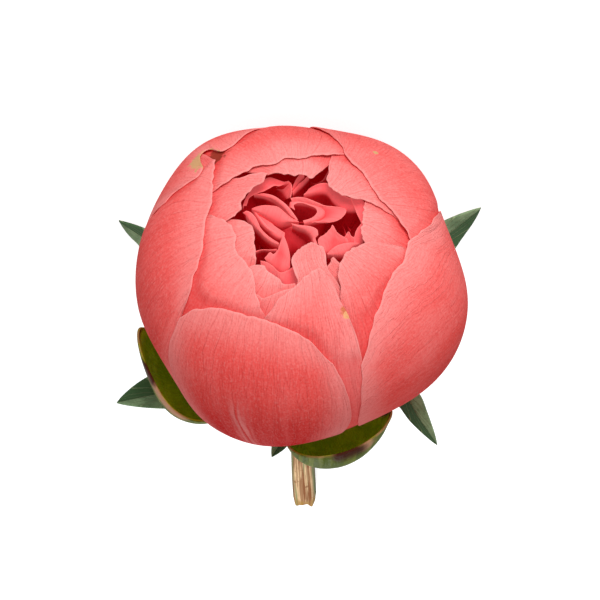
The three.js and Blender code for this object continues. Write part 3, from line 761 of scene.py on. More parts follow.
def fitted_petal(first, tip, second, seed, bulges=(), sink=0.0, dent=0.15, cells=(110, 110)):
    """The two faces of a petal, each point's distance from its free edge, and how hidden it is, from 0 to 1,
    under its neighbours or on its inner face, which the skin paints as shade. It lies on the bloom's surface,
    swollen by its bulges and lowered by sink, or under the petals outside it where they leave less room. Its
    edge stands out a little, and its surface is dented by shallow lengthwise hollows. Later petals have less
    room by it."""
    free = eased(room)
    u, v = crowded(cells[0]), crowded(cells[1])
    azimuth, polar = np.moveaxis(outlined(first, tip, second, u, v), -1, 0)
    bend = 0.3 * v[:, None] ** 2 * smooth(polar / 10)
    azimuth = azimuth + bend * ripple(seed, 6, 0.8, azimuth, polar) / np.sin(np.radians(np.maximum(polar, 8)))
    polar = polar + bend * ripple(seed + 50, 6, 0.8, azimuth, polar)

    def lowered(a, p):
        own, allowed = swelling(bulges, a, p) - sink, sampled(free, a, p)
        return np.minimum(own, allowed) - BLEND * np.exp(-np.abs(own - allowed) / BLEND)

    covered = inside(first, tip, second)
    room[covered] = np.minimum(room, lowered(AZIMUTHS, POLARS) - PETAL - PETAL_GAP)[covered]
    hollows = dent * (0.5 + 0.5 * ripple(seed + 9, 5, 7, u, 0.25 * v[:, None])) * smooth(v / 0.5)[:, None]
    away = globe(azimuth, polar) + lowered(azimuth, polar) - hollows
    rim = sheet(directions(azimuth, polar) * away[..., None], PETAL, PETAL_EDGE)[1]
    away = away + FLARE * np.exp(-((rim / FLARE_REACH) ** 2))
    away = np.minimum(away, table_distance(azimuth, polar))
    roundness = half_round(rim, PETAL_EDGE)
    roundness[0] = 0
    heading = directions(azimuth, polar)
    outer = heading * (away - PETAL / 2 * (1 - roundness))[..., None]
    inner = heading * (away - PETAL / 2 * (1 + roundness))[..., None]
    spare = sampled(free, azimuth, polar) - swelling(bulges, azimuth, polar) + sink
    tucked_shade = np.clip((0.8 - spare) / 1.3, 0, 1) ** 2
    return (outer, inner), {"rim": (rim, rim), "tucked_shade": (tucked_shade, np.maximum(tucked_shade, smooth(rim / 5)))}


CORAL = colour(238, 76, 70)
CORAL_DEEP = colour(196, 4, 6)
CORAL_PALE = colour(252, 128, 126)
CORAL_DUSTY = colour(246, 158, 154)
SHINE_BRIGHT = (1.0, 0.17, 0.18, 1.0)
SHINE_PINK = (0.5, 0.09, 0.095, 1.0)
SHINE_DEEP = (0.12, 0.0, 0.002, 1.0)
WITHERED = colour(208, 158, 112)
WITHERED_AND_SHADOW_BROWN = colour(140, 56, 42)
SPOT_RED = colour(216, 118, 84)
SPOT_TAN = colour(236, 168, 118)


def petal_finish(name, pace=44.0, lean=0.0, pale=0.5, deep=0.3, margin=0.45, stripe=0.0, stains=()):
    """A petal's satin skin: coral, paler towards the open tip of the bloom and in a broad dusty margin, deep
    red towards the stem and where it is hidden, with a faint painted glow where it is hidden. The paler tip
    and the deep red towards the stem are partly the petal's own colour and partly painted light and shade, as
    the lamp falls on the head of the bloom. The deep red where it is hidden is painted shade under its
    neighbours' edges and on its inner face, and the glow stands in for light shining through it. A thin paler
    line along the edge towards the open tip is partly its own pale edge and partly a painted highlight. pace
    is how many fine veins it has side by side, and lean how far they turn sideways on their way up. pale,
    deep and margin are the strengths of the paler tip, the deep red and the dusty margin. stripe is where,
    from 0 to 1 across, it is streaked with a paler colour low down. stains are (point, reach, colour) marks."""
    material, uv, place = finish(name, 0.5, gloss=0.01, glow=0.5)
    rim, tucked_shade, up = uv.mark("rim"), uv.mark("tucked_shade"), uv.part(1)
    across = (uv.part(0) + up * lean) * pace
    along = up * 4.0 - uv.part(0) * (0.5 * lean)
    level = axis_level(place)
    streaks = across.vector(along, 0.0).noise(1.0, 2.0)
    branches = (across * 0.45).vector(along * 0.6, 5.0).noise(1.0, 2.0)
    fibres = (across * 2.6).vector(along * 16.0, 2.0).noise(1.0, 2.0)
    bands = (across * 0.17).vector(along * 0.4, 3.0).noise(1.0, 3.0)
    clouds = place.noise(55, 3.0)
    grain = place.noise(2200, 1.0)
    vein = streaks.off(0.5).step(0.03, 0.0)
    thick_vein = branches.off(0.5).step(0.018, 0.0)
    dusty = rim.step(11.0, 0.3) * margin + clouds.step(0.5, 0.75) * 0.2
    skin = layered(
        CORAL,
        # deep red towards the stem: partly the petal's own colour, partly painted shade on the side away from
        # the lamp
        (level.step(14.0, -12.0) * deep + clouds.step(0.6, 0.3) * 0.25 * rim.step(3.0, 17.0), CORAL_DEEP),
        # paler towards the open tip: partly the petal's own colour, partly painted light where the lamp falls
        (level.step(-4.0, 30.0) * (rim.step(11.0, 1.0) * 0.4 + 0.7) * pale, CORAL_PALE),
        (dusty * level.step(-34.0, -4.0), CORAL_DUSTY),
    )
    if stripe:
        near = uv.part(0).off(stripe).step(0.08, 0.0) * level.step(14.0, 3.0)
        skin = (near * streaks.step(0.35, 0.6) * 0.55).tint(skin, CORAL_DUSTY)
    skin = layered(
        skin,
        (bands.step(0.42, 0.7) * 0.25, CORAL_PALE),
        (fibres.step(0.5, 0.75) * 0.22, CORAL_DUSTY),
        (fibres.step(0.5, 0.25) * 0.16, CORAL_DEEP),
        (grain.step(0.5, 0.72) * 0.16, CORAL_DUSTY),
        (grain.step(0.5, 0.3) * 0.14, CORAL_DEEP),
        (vein * 0.1 + thick_vein * 0.22 * bands.step(0.3, 0.6), CORAL_DEEP),
        # a thin paler line along the edge towards the open tip: partly its own pale edge, partly a painted
        # highlight
        (rim.step(0.9, 0.1) * level.step(5.0, 20.0) * 0.5, CORAL_DUSTY),
        # painted shade: deep red where the petal is tucked under its neighbours' edges, and on its inner face
        (tucked_shade * 0.32, CORAL_DEEP),
    )
    for point, reach, stain in stains:
        mark = (place.near(point, reach) + (place.noise(900, 3.0) - 0.5) * 1.2).step(0.3, 0.6)
        skin = mark.tint(skin, stain)
    height = fibres * 0.35 + bands * 0.9 + grain * 0.35 - vein * 0.25 - thick_vein * 0.4
    # painted light: a deep red glow where the petal is tucked under its neighbours or on its inner face
    return coat(material, skin, grain * 0.15 + 0.5, height, 0.12, tucked_shade.tint(SHINE_NONE, SHINE_DEEP))


def spot(azimuth, polar, out=0.0):
    """A point on the bloom's surface, or out from it."""
    return directions(azimuth, polar) * (globe(azimuth, polar) + out)


guard_petals = {
    "guard_petal_front": {
        "first": [(-118, ROOT), (-126, 118), (-137, 92), (-142, 76), (-144, 60)],
        "tip": [(-141, 54), (-132, 47.5), (-120, 44.5), (-108, 43.5), (-97, 45), (-88, 48), (-82, 53)],
        "second": [(-92, ROOT), (-79, 118), (-73.5, 92), (-73, 77), (-74.5, 66), (-77.5, 58)],
        "bulges": [(-108, 78, 0.9, 26)],
    },
    "guard_petal_left_shoulder": {
        "first": [(84, ROOT), (72, 118), (78, 88), (97, 68)],
        "tip": [(108, 59), (115, 52), (124, 46.5), (131.5, 47), (133, 54), (138, 54.5), (142, 49),
                (149, 46.5), (155, 51)],
        "second": [(138, ROOT), (160, 118), (166, 84), (161.5, 59)],
        "bulges": [(94, 60, -0.9, 20)],
    },
    "guard_petal_right": {
        "first": [(-50, ROOT), (-63, 122), (-69.5, 94), (-69, 76), (-67, 61.5)],
        "tip": [(-62.5, 56), (-57, 50), (-52, 47), (-43.5, 43), (-32.5, 41), (-22, 42), (-12, 41.5),
                (-7.5, 43), (-3, 46), (3, 50), (12.5, 57.5)],
        "second": [(0, ROOT), (22, 122), (28, 95), (26, 80), (20, 68)],
        "bulges": [(-20, 82, 1.1, 26)],
    },
    "guard_petal_left": {
        "first": [(168, ROOT), (155, 118), (142, 84), (135, 60), (138, 45)],
        "tip": [(145, 41), (151.5, 38.5), (166, 35), (180.5, 36.5), (190, 37.5), (200.5, 40.5), (208, 46),
                (213.5, 52.5)],
        "second": [(204, ROOT), (219, 120), (222, 90), (220, 74), (216, 60)],
        "bulges": [(186, 64, 0.8, 18)],
    },
    "guard_petal_right_shoulder": {
        "first": [(14, ROOT), (0, 118), (-9, 80), (-10, 58), (-9, 43)],
        "tip": [(-3, 39), (3.5, 36), (9.5, 33.5), (18.5, 31), (30, 30.5), (42, 31.5), (52.5, 32), (60, 34.5),
                (67, 39.5)],
        "second": [(58, ROOT), (84, 118), (88, 80), (82, 60), (73.5, 45)],
        "bulges": [(44, 62, 0.5, 20)],
    },
    "guard_petal_top": {
        "first": [(86, ROOT), (66, 118), (54, 76), (52, 45), (56, 37)],
        "tip": [(69, 31), (78.5, 29), (84.5, 27.5), (91, 26.5), (102.5, 27.5), (110, 26.5), (117.5, 26.5),
                (127, 29), (134, 29.5), (147.5, 32.5), (153, 34)],
        "second": [(128, ROOT), (156, 118), (168, 76), (166, 50), (160, 37.5)],
        "bulges": [(96, 60, -0.4, 20)],
    },
}
guard_finishes = {
    "guard_petal_front": {"deep": 1.0, "pale": 0.35, "margin": 0.5, "stripe": 0.42},
    "guard_petal_left_shoulder": {
        "stains": [(spot(139, 51), 6.5, WITHERED), (spot(137.5, 49), 3.0, WITHERED_AND_SHADOW_BROWN)],
    },
    "guard_petal_right": {"lean": 4.0, "pace": 20.0, "pale": 0.6, "margin": 0.5},
    "guard_petal_left": {"lean": -0.1},
    "guard_petal_right_shoulder": {"pale": 0.65, "margin": 0.15, "stains": [(spot(49, 44.5), 1.2, WITHERED)]},
    # painted shadow: the dark brown patch lies under the notch in the shoulder petal's edge, over real
    # withering
    "guard_petal_top": {"stains": [(spot(135, 48), 5.5, WITHERED_AND_SHADOW_BROWN)]},
}
for seed, (node, shape) in enumerate(guard_petals.items()):
    faces, marks = fitted_petal(seed=seed, **shape)
    skin = petal_finish(node + "_skin", **guard_finishes[node])
    piece("satin_" + node, faces, skin, "outer_petal", node, **marks)

# ---------------------------------------------------------------------------------------------- second petals
# Three petals of the same satiny tissue, rooted inside the guard petals. Their edges frame the opening at the
# front, the left and the right.
second_petals = {
    "second_petal_front": {
        "first": [(-104, ROOT), (-112, 118), (-117, 76), (-113, 54), (-108.5, 43.5)],
        "tip": [(-106, 39.5), (-102.5, 35), (-97.5, 32), (-92, 29.5), (-87, 27), (-80.5, 25), (-73.5, 24.5),
                (-70.5, 26)],
        "second": [(-74, ROOT), (-62, 118), (-66, 76), (-65.5, 50), (-67, 37), (-68, 29)],
        "bulges": [(-84, 44, 0.6, 14)],
    },
    "second_petal_left": {
        "first": [(184, ROOT), (174, 118), (166, 76), (169, 46), (176, 35)],
        "tip": [(182, 30), (187.5, 27.5), (193, 26.5), (200.5, 26.5), (207.5, 28), (212, 29), (218.5, 29),
                (225, 29), (233, 30.5), (238, 32.5), (243, 36.5)],
        "second": [(228, ROOT), (250, 118), (257, 76), (255, 55), (251.5, 43)],
        "bulges": [(214, 48, 0.6, 18)],
    },
    "second_petal_right": {
        "first": [(-62, ROOT), (-74, 118), (-80, 76), (-72, 50), (-67, 38)],
        "tip": [(-64.5, 34.5), (-62, 30.5), (-59, 27), (-54, 25.5), (-46.5, 24), (-38, 24.5), (-31.5, 26),
                (-25.5, 27.5), (-20.5, 31)],
        "second": [(-28, ROOT), (-14, 118), (-6, 76), (-12, 48), (-19, 34.5)],
        "bulges": [(-46, 40, 0.6, 14)],
    },
}
front_stains = [(spot(-66, 41.5, 0.5), 2.8, SPOT_RED), (spot(-67, 43, 0.5), 1.6, SPOT_TAN)]
for seed, (node, shape) in enumerate(second_petals.items()):
    faces, marks = fitted_petal(seed=seed + 10, cells=(90, 100), **shape)
    stains = front_stains if node == "second_petal_front" else ()
    skin = petal_finish(node + "_skin", pace=34.0, pale=0.7, stains=stains)
    piece("satin_" + node, faces, skin, "outer_petal", node, **marks)

# ----------------------------------------------------------------------------------------------- inner petals
# Smaller and paler petals of the same tissue, rooted inside the second ones. Their edges ring the opening, and
# each is tucked under its neighbours.
mouth_rims = []
inner_petals = {
    "inner_petal_low": {
        "node": "inner_petal_lower_left",
        "first": [(236, ROOT), (230, 112), (232, 62), (235, 45), (238.5, 37)],
        "tip": [(243.9, 36.9), (246.6, 37.1), (250.6, 35.2), (256.1, 32.9), (262.3, 31.3)],
        "second": [(262, ROOT), (272, 112), (276, 62), (274, 40), (269.3, 29.6)],
        "sink": 0.5,
    },
    "inner_petal_upper_right": {
        "first": [(22, ROOT), (8, 112), (-2, 66), (-4, 46), (2, 38)],
        "tip": [(9, 31), (16.5, 26.5), (21, 23), (29, 20), (36, 18.5), (49.5, 18), (58, 20), (63.5, 24)],
        "second": [(50, ROOT), (66, 112), (76, 62), (74, 42), (66, 28.5)],
        "sink": 0.4,
    },
    "inner_petal_upper_left": {
        "first": [(130, ROOT), (126, 118), (134, 76), (146, 46), (143, 32), (131.5, 27.5), (122.5, 24.5)],
        "tip": [(131.5, 22.5), (142, 23), (154, 24), (163, 24.5), (172, 24)],
        "second": [(164, ROOT), (184, 112), (194, 62), (189, 38), (179, 26)],
        "sink": 0.6,
        "margin": 0.2,
    },
    "inner_petal_top": {
        "first": [(76, ROOT), (62, 112), (54, 62), (60, 38), (66, 28)],
        "tip": [(69, 23.5), (73.5, 19.5), (80, 18.5), (87.5, 20), (97, 19.5), (108, 21), (116.5, 23)],
        "second": [(108, ROOT), (126, 112), (140, 62), (138, 36), (124, 24.5)],
        "sink": 0.5,
    },
    "inner_petal_right": {
        "first": [(-26, ROOT), (-38, 112), (-44, 62), (-36, 38), (-25, 28)],
        "tip": [(-21, 26), (-14, 24.5), (-1, 24.5), (9.5, 25)],
        "second": [(2, ROOT), (18, 112), (26, 62), (24, 38), (18, 27)],
        "sink": 0.8,
    },
    "inner_petal_front": {
        "first": [(-96, ROOT), (-102, 112), (-104, 56), (-98, 38), (-93, 30), (-95, 26.5), (-99, 23),
                  (-100.5, 20), (-98.5, 17.2)],
        "tip": [(-92, 15), (-84, 13.4), (-74, 12.7), (-64, 13.5)],
        "second": [(-72, ROOT), (-60, 112), (-58, 56), (-63, 34), (-65, 25), (-60, 20), (-57, 17.2)],
        "sink": 0.9,
    },
    "inner_petal_lower_left": {
        "first": [(230, ROOT), (222, 112), (218, 62), (222, 42), (227, 30)],
        "tip": [(230, 27.5), (235.5, 26.5), (241, 27.5), (246.5, 28), (253, 28.5), (257, 30)],
        "second": [(256, ROOT), (270, 112), (276, 62), (273, 42), (265.5, 29.5)],
        "sink": 1.3,
    },
    "inner_petal_left": {
        "first": [(190, ROOT), (182, 112), (178, 62), (177, 40), (180.5, 27.5)],
        "tip": [(182.5, 24.5), (185.5, 22), (191.5, 20.5), (203.5, 20.5), (217, 23)],
        "second": [(222, ROOT), (238, 112), (244, 62), (238, 38), (226, 25.5)],
        "sink": 1.2,
    },
    "inner_petal_seam": {
        "node": "inner_petal_front",
        "first": [(-76, ROOT), (-70, 112), (-76, 62), (-76, 40), (-74, 30.2)],
        "tip": [(-68.6, 26.5), (-62.3, 24), (-57.2, 22.7)],
        "second": [(-52, ROOT), (-44, 112), (-40, 62), (-48, 36), (-52, 27.5), (-53.3, 22.3)],
        "sink": 1.8,
        "margin": 0.15,
    },
}
for seed, (name, shape) in enumerate(inner_petals.items()):
    node, margin = shape.pop("node", name), shape.pop("margin", 0.45)
    faces, marks = fitted_petal(seed=seed + 20, cells=(80, 90), dent=0.1, **shape)
    skin = petal_finish(name + "_skin", pace=26.0, pale=0.8, margin=margin)
    piece("satin_" + name, faces, skin, "inner_petal", node, **marks)
    mouth_rims.append(faces[0].reshape(-1, 3))

# ------------------------------------------------------------------------------------------------------ heart
# Many short ruffled petals crowd the opening. Each hangs from a curved free edge, and runs down into the dark
# of the bloom, where it narrows to its root.
RUFFLE = 0.25  # thickness
RUFFLE_EDGE = 0.25
ROOT_DROP = 15
DEEP_RUFFLES = 12
GOLDEN_ANGLE = 137.5  # by which each deep ruffle is turned from the one before
MOUTH = 22  # reach of the heights kept round the axis
AROUND = [(x, y) for x in range(-2, 3) for y in range(-2, 3) if abs(x) + abs(y) <= 2]
ruffles = {
    "left_arc": [
        [(-13.1, 5.6, 25.6), (-12.4, 7.5, 26), (-11.1, 9.6, 26.4), (-9.3, 11.4, 26.7), (-7.3, 12.5, 26.9),
         (-5.4, 11.9, 26.9), (-3.9, 11.2, 26.9), (-2.7, 11.3, 27.1)],
        [(-12.3, 6.1, 25.2), (-11.8, 7.8, 25.6), (-10.2, 8.8, 25.9), (-8.4, 9.5, 26), (-7.3, 10.1, 26.2),
         (-6.1, 10.8, 26.3), (-4.9, 10.6, 26.4), (-3.6, 11.1, 26.6), (-2.6, 11.2, 26.8)],
    ],
    "upright_fold": [
        [(-6.6, 12.4, 22), (-5, 11.1, 21.5), (-3.7, 9.7, 21.5)],
        [(-4, 11.4, 26.4), (-2.9, 11.5, 26.9), (-2.1, 10.9, 26.9), (-2, 9.6, 26.4), (-2.3, 8.1, 25.6)],
    ],
    "thin_arch": [
        [(-10.7, 9.5, 24.2), (-7.9, 8.8, 24.4), (-5.7, 7.4, 24.4), (-3.8, 5.6, 24.4), (-2.3, 3.7, 24.4),
         (-0.9, 2.7, 24.3)],
        [(-10.6, 9.2, 25), (-8.4, 8.7, 25.3), (-6.3, 7.9, 25.4), (-4.5, 6.5, 25.4), (-2.9, 4.7, 25.3),
         (-1.9, 3.5, 25.1), (-0.9, 2.4, 24.9)],
        [(-10.3, 9.3, 25.2), (-8.4, 9.2, 25.6), (-6.3, 8.5, 25.8), (-4.5, 7.2, 25.8), (-2.9, 5.7, 25.6),
         (-1.6, 3.9, 25.3), (-0.7, 2.6, 25)],
    ],
    "broad_leaf": [
        [(-10.8, 5, 25), (-9, 3.8, 25.2), (-7.3, 2.6, 25.4), (-5.9, 1.7, 25.4), (-4.5, 1.2, 25.2),
         (-2.7, 1.6, 25), (-0.5, 2, 24.8)],
        [(-10.8, 5, 25.6), (-8.8, 4.6, 26.1), (-7, 4.1, 26.3), (-5.4, 3.3, 26.3), (-3.8, 2.3, 26.2),
         (-2.2, 1.7, 25.9), (-0.5, 1.8, 25.3)],
        [(-10.8, 5.4, 25.5), (-8.8, 5.8, 25.9), (-7, 5.8, 25.9), (-5.2, 5.4, 25.9), (-3.6, 4, 25.8),
         (-2.3, 2.8, 25.6), (-0.5, 2, 25.2)],
    ],
    "cup_back": [
        [(-2, 7.1, 24.6), (-0.2, 7.1, 24.8), (1.8, 6.5, 25), (3.6, 5.7, 25.1), (5, 5, 25.2), (5.6, 4.1, 25.2),
         (5.4, 3.1, 25.1), (4.1, 2.1, 25), (2.3, 1.8, 24.8)],
        [(-2.4, 7.7, 26), (-0.2, 7.8, 26.3), (1.8, 7.2, 26.4), (4, 6.1, 26.4), (5.9, 5.3, 26.4),
         (8.3, 5.1, 26.4), (10.1, 4.6, 26.3), (9.9, 3.4, 26.1), (8.7, 2.1, 25.8), (6.8, 1.6, 25.4),
         (4.3, 1.6, 25.2)],
    ],
    "cup_lip": [
        [(-2.5, 6, 24.4), (-2.3, 7.4, 24.6), (0, 7.5, 24.8), (2.3, 6.8, 24.9), (4.3, 5.7, 25), (5.4, 4.7, 25),
         (5, 3.3, 24.9), (3.4, 2.3, 24.7), (0.7, 1.6, 24.5)],
        [(-1.4, 5.1, 25), (-1.6, 6.4, 25.2), (0, 6.8, 25.4), (1.8, 6.1, 25.6), (3.3, 5.2, 25.7),
         (3.7, 4.2, 25.7), (2.9, 3.1, 25.5), (1.8, 2.6, 25.3), (0.5, 2.3, 25.1)],
    ],
    "upper_sweep": [
        [(0.6, 8.8, 25.2), (2, 9, 25.7), (3.6, 9.4, 26), (5.2, 9.5, 26), (6.3, 8.8, 26), (7.2, 7.3, 26.1),
         (8.4, 5.9, 26.1), (9.7, 4.9, 26.1), (11.3, 4.7, 26), (12.9, 4.8, 25.8)],
        [(0.7, 8.9, 25.4), (1.8, 10.1, 26.1), (3.2, 10.9, 26.5), (4.8, 11.3, 26.7), (6.2, 11, 26.9),
         (7.5, 9.6, 27.1), (9, 8.2, 27.2), (10.8, 7.1, 27.2), (12.4, 6.4, 27.2), (13.5, 5.1, 26.8)],
    ],
    "upper_corner": [
        [(1.8, 13.4, 21.8), (3.2, 13.4, 22), (4.6, 13.7, 22.2), (5.9, 14.1, 22.4)],
        [(2.1, 14, 23), (3.4, 13.4, 23.2), (4.8, 14, 23.4), (5.7, 15.2, 23.6), (6.6, 17, 23.8)],
    ],
    "first_strip": [
        [(-1.9, 10.7, 24.6), (-1.1, 11.7, 25.6), (-0.2, 12.7, 26.2), (0.7, 13.4, 26.6)],
        [(-2.1, 10.5, 24.8), (-1.6, 11.7, 26), (-0.8, 13, 26.6), (0, 13.7, 27)],
    ],
    "second_strip": [
        [(-1.9, 9.8, 24.4), (-0.7, 10.8, 25.2), (0.5, 11.7, 25.8), (1.8, 13.1, 26.2)],
        [(-1.9, 10.3, 24.6), (-0.7, 11.5, 25.6), (0.5, 12.3, 26.2), (1.5, 13.2, 26.5)],
    ],
    "left_lobe": [
        [(-12.4, 3.6, 25), (-11.5, 1.8, 25.2), (-10.1, 0, 25.2), (-8.3, -2.1, 25), (-6.5, -3.4, 24.7),
         (-4.9, -3.9, 24.4)],
        [(-13.1, 3.9, 25.8), (-12.2, 4.2, 26.2), (-10.8, 3.3, 26.2), (-9.9, 1.9, 26), (-9, -0.1, 25.8),
         (-7.2, -2, 25.4), (-4.9, -3.4, 24.8)],
    ],
    "left_shelf": [
        [(-9.7, 3.9, 24), (-8.4, 2, 24), (-7.2, 0.2, 24), (-5.6, -1.3, 23.8), (-3.8, -1.8, 23.4)],
        [(-7.5, 3.4, 24.6), (-6.8, 2.2, 24.6), (-5.9, 1.2, 24.5), (-4.7, 0.4, 24.3), (-3.6, -0.3, 24)],
    ],
    "curl": [
        [(-11.1, 5.8, 24.4), (-9.7, 3.1, 24.4), (-8.3, 1.1, 24.3), (-6.5, -0.4, 24.1), (-4.7, -1.3, 23.8)],
        [(-10.6, 5.4, 24.8), (-9.3, 3.4, 25), (-8.1, 1.7, 25), (-7, 0.5, 24.8), (-5.6, -0.2, 24.5),
         (-4.5, -1.1, 24)],
    ],
    "low_ledge": [
        [(-10.3, -5.2, 23), (-8.8, -4.8, 23), (-7, -4.8, 23), (-5.4, -4.7, 23)],
        [(-10.3, -5.1, 24), (-8.7, -4.8, 24.2), (-7, -4.8, 24.2), (-5.4, -4.5, 24)],
    ],
    "pointed": [
        [(-7.8, -8, 24.2), (-6.9, -8.6, 24.2), (-5.8, -9.2, 24.2), (-4.7, -10, 24.2), (-3.8, -10.4, 24.2),
         (-2.9, -10.2, 24.2), (-2.5, -9.8, 24.2)],
        [(-8.3, -7.5, 25), (-7.6, -6.9, 25.4), (-6.9, -6.3, 25.6), (-6.1, -6.8, 25.6), (-5.2, -5.9, 25.9),
         (-4.7, -4.5, 26.4), (-4, -2.8, 27), (-3.2, -4.3, 26.6), (-2.7, -6, 26.1), (-2.4, -8, 25.4),
         (-2.5, -9.8, 24.6)],
    ],
    "lower_inner": [
        [(-8.7, -10.2, 24.4), (-7.1, -11.5, 24.4), (-5.6, -12.8, 24.4), (-3.8, -14.3, 24.4),
         (-1.6, -15.4, 24.4), (0.7, -15.4, 24.4)],
        [(-9.1, -8.5, 25.6), (-7.9, -9, 26), (-6.4, -10.1, 26.2), (-4.7, -11.9, 26.3), (-3, -11.5, 26.4),
         (-1.6, -10.6, 26.4), (0.7, -9.7, 26.2)],
    ],
    "dark_face": [
        [(-3.9, -1.8, 19), (-1.6, -2.3, 19), (0.5, -1.8, 19), (3.2, -1, 19.5)],
        [(-4.5, 2, 23.6), (-2.3, 1.8, 23.6), (-0.2, 1.2, 23.6), (2.3, 0.2, 23.6)],
    ],
    "rolled": [
        [(-2, 0.9, 25), (-0.4, 0, 25.2), (0.9, -0.6, 25.4), (1.9, -1.4, 25.4), (2.5, -2.4, 25.2),
         (2.7, -3.4, 24.8), (3.1, -4.2, 24.4)],
        [(-2.2, 1.1, 25.8), (-0.4, 0.5, 26.1), (1.3, 0.2, 26.3), (2.7, -0.2, 26.4), (3.7, -1, 26.4),
         (3.8, -2.1, 26.2), (3.2, -2.7, 25.8), (3.7, -4, 25.3)],
    ],
    "right_peak": [
        [(4.5, -5.5, 23.8), (6.1, -5.2, 23.8), (7.2, -4.4, 23.8), (8.3, -3.9, 23.8), (9.4, -3.5, 23.8),
         (10.6, -3.4, 23.8)],
        [(3.8, -3.6, 25), (4, -2.5, 25.4), (5.4, -1.7, 25.8), (6.4, -0.7, 26.3), (7.1, 0.1, 26.8),
         (7.8, -1.2, 26.3), (8.5, -1.8, 26), (9.5, -2.2, 25.6), (10.5, -2.5, 25)],
    ],
    "small_peak": [
        [(9.7, -3.5, 23.6), (11, -3.2, 23.6), (12.6, -3.5, 23.6)],
        [(9.5, -2.8, 25), (10.5, -1.2, 26), (11.2, -2, 25.6), (12.3, -2.4, 25)],
    ],
    "right_shelf": [
        [(5.9, -6.9, 25.2), (7.6, -7.1, 25.5), (9.2, -7, 25.6), (10.5, -6.3, 25.5), (11.6, -5, 25.3),
         (13, -4.2, 25)],
        [(5.8, -6.6, 25.3), (7.4, -5.2, 26), (9.3, -4.5, 26.3), (11.2, -4.2, 26.3), (13, -4, 25.8)],
    ],
    "right_sliver": [
        [(12.1, -4.4, 24.6), (13.5, -3.4, 25), (14, -1.4, 25.4), (14.1, 0.7, 25.8)],
        [(11.8, -2.6, 25.2), (12.3, -1.2, 26), (13, 0, 26.5), (13.7, 0.7, 26.8)],
    ],
    "right_wing": [
        [(11.7, 7.9, 27.8), (13.5, 6.2, 28), (14.6, 4.5, 27.8), (14.8, 2.3, 27.4), (14.6, 0.1, 26.8)],
        [(10.9, 7.5, 27.2), (11.6, 5.6, 27.1), (12.4, 3.3, 26.9), (13.3, 1.2, 26.6), (13.8, 0.2, 26.2)],
    ],
}


def ruffle(curves, seed):
    """A ruffled petal's middle surface: a smooth sheet through its curves, the last of which is its free
    edge, that goes on below the first one down to a narrow root."""
    u, v = crowded(56), crowded(44)
    first = np.array(curves[0], float)
    belly = first * [0.97, 0.97, 1] - [0, 0, ROOT_DROP / 3]
    root = first * [0.6, 0.6, 1] - [0, 0, ROOT_DROP]
    strands = np.stack([curve(c, u) for c in (root, belly, *curves)])
    places = np.interp(v, [0, 0.35, 0.55, 1], [0, 1 / (len(strands) - 1), 2 / (len(strands) - 1), 1])
    k = np.clip((places * (len(strands) - 1)).astype(int), 0, len(strands) - 2)
    grid = spline(strands, k, (places * (len(strands) - 1) - k)[:, None, None])
    along = grid[..., 0] + grid[..., 1]
    wave = 0.12 * ripple(seed, 4, 1.1, along, grid[..., 2]) * smooth(v)[:, None]
    wave = wave + 0.13 * ripple(seed + 70, 5, 3.4, along, grid[..., 2]) * smooth((v - 0.6) / 0.4)[:, None]
    return grid + wave[..., None] * [0.5, -0.5, 0.7]


def roof(points):
    """The height of the highest point over each whole millimetre round the axis, out to MOUTH millimetres."""
    top = np.full((2 * MOUTH + 1, 2 * MOUTH + 1), -60.0)
    near = points[(np.abs(points[:, :2]) < MOUTH - 0.5).all(1) & (points[:, 2] > 10)]
    x, y = np.round(near[:, :2]).astype(int).T + MOUTH
    np.maximum.at(top, (x, y), near[:, 2])
    return top


def cover(top, points):
    """How far the surroundings, up to 2 mm away, stand above each point on average, in millimetres."""
    x, y = np.clip(np.moveaxis(points[..., :2], -1, 0), -MOUTH + 4, MOUTH - 4) + MOUTH
    i, j = np.floor(x).astype(int), np.floor(y).astype(int)
    a, b = x - i, y - j
    total = 0
    for di, dj in AROUND:
        near = top[i + di, j + dj] * (1 - a) * (1 - b) + top[i + di + 1, j + dj] * a * (1 - b)
        near = near + top[i + di, j + dj + 1] * (1 - a) * b + top[i + di + 1, j + dj + 1] * a * b
        total = total + np.clip(near - points[..., 2], 0, 4)
    return total / len(AROUND)


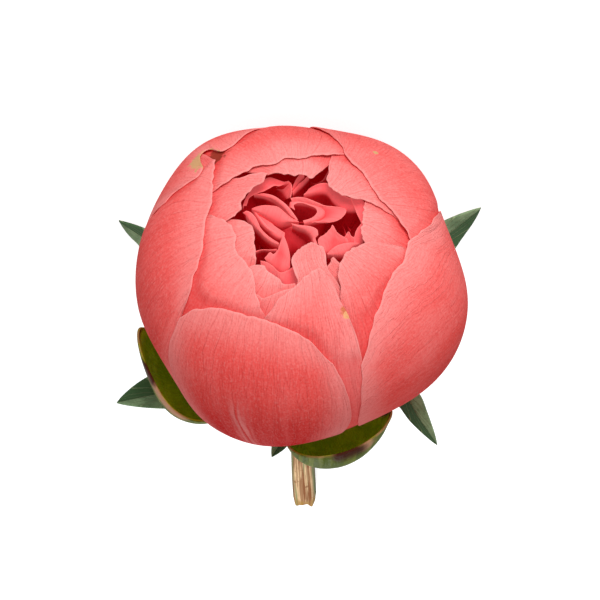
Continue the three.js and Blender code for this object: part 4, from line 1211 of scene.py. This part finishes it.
# painted light and shade: the heart's colours stand in for most of its light and shade, layer by layer
RUFFLE_PINK = colour(238, 112, 112)
RUFFLE_ROSE = colour(234, 70, 78)
RUFFLE_RED = colour(222, 44, 54)
RUFFLE_DEEP = colour(172, 3, 10)
material, uv, place = finish("ruffle_skin", 0.5, gloss=0.03, glow=0.4)
rim = uv.mark("rim")
height = axis_level(place)
veins = uv.stretched(40, 2).noise(1.0, 3.0)
clouds = place.noise(260, 3.0)
hidden = uv.mark("cover")
face = uv.part(1).step(0.46, 0.57) * height.step(22.8, 24.6)  # the part above the dark, near the free edge
skin = layered(
    RUFFLE_DEEP,
    # painted shade: red deepens lower down in the bloom
    (height.step(18.0, 25.5), RUFFLE_RED),
    # pink near the free edge: partly the ruffle's own colour, partly painted light on its lit face
    (face * (rim.step(4.5, 0.8) * 0.7 + 0.3), RUFFLE_PINK),
    (veins.step(0.5, 0.75) * 0.3, RUFFLE_RED),
    # painted shade: rose, then deep red, where the surroundings stand over the ruffle
    (hidden.step(0.4, 2.4) * 0.7, RUFFLE_ROSE),
    (hidden.step(1.8, 4.0) * 0.8, RUFFLE_DEEP),
    # a thin pale line along the edge of the face: partly its own pale edge, partly a painted highlight
    (rim.step(0.6, 0.0) * face * 0.6, CORAL_PALE),
)
# painted light: the ruffles glow deep red, pink on their faces, and brighter where those faces lie in shade
shine = layered(SHINE_DEEP, (face * 0.8, SHINE_PINK), (face * hidden.step(0.4, 2.0) * 0.75, SHINE_BRIGHT))
coat(material, skin, clouds * 0.2 + 0.42, veins * 0.8 + clouds * 0.6, 0.15, shine)
sheets = {}
for seed, (name, curves) in enumerate(ruffles.items()):
    sheets["ruffle_" + name] = sheet(ruffle(curves, seed), RUFFLE, RUFFLE_EDGE)

random = np.random.default_rng(12)
for number in range(DEEP_RUFFLES):
    azimuth = number * GOLDEN_ANGLE
    away = random.uniform(4, 12)
    t = np.radians(azimuth + np.linspace(-40, 40, 5))
    level = random.uniform(16, 20) + random.uniform(-1, 1, 5)
    rim_line = np.stack([away * np.cos(t), away * np.sin(t), level], -1)
    curves = [rim_line * [0.95, 0.95, 1] - [0, 0, 3], rim_line]
    sheets[f"deep_ruffle_{number}"] = sheet(ruffle(curves, 40 + number), RUFFLE, RUFFLE_EDGE)

top = roof(np.concatenate(mouth_rims + [faces[0].reshape(-1, 3) for faces, _ in sheets.values()]))
for name, (faces, rim_distance) in sheets.items():
    marks = {"rim": (rim_distance, rim_distance), "cover": [cover(top, f) for f in faces]}
    piece(name, faces, material, "heart_petal", "heart_petals", **marks)
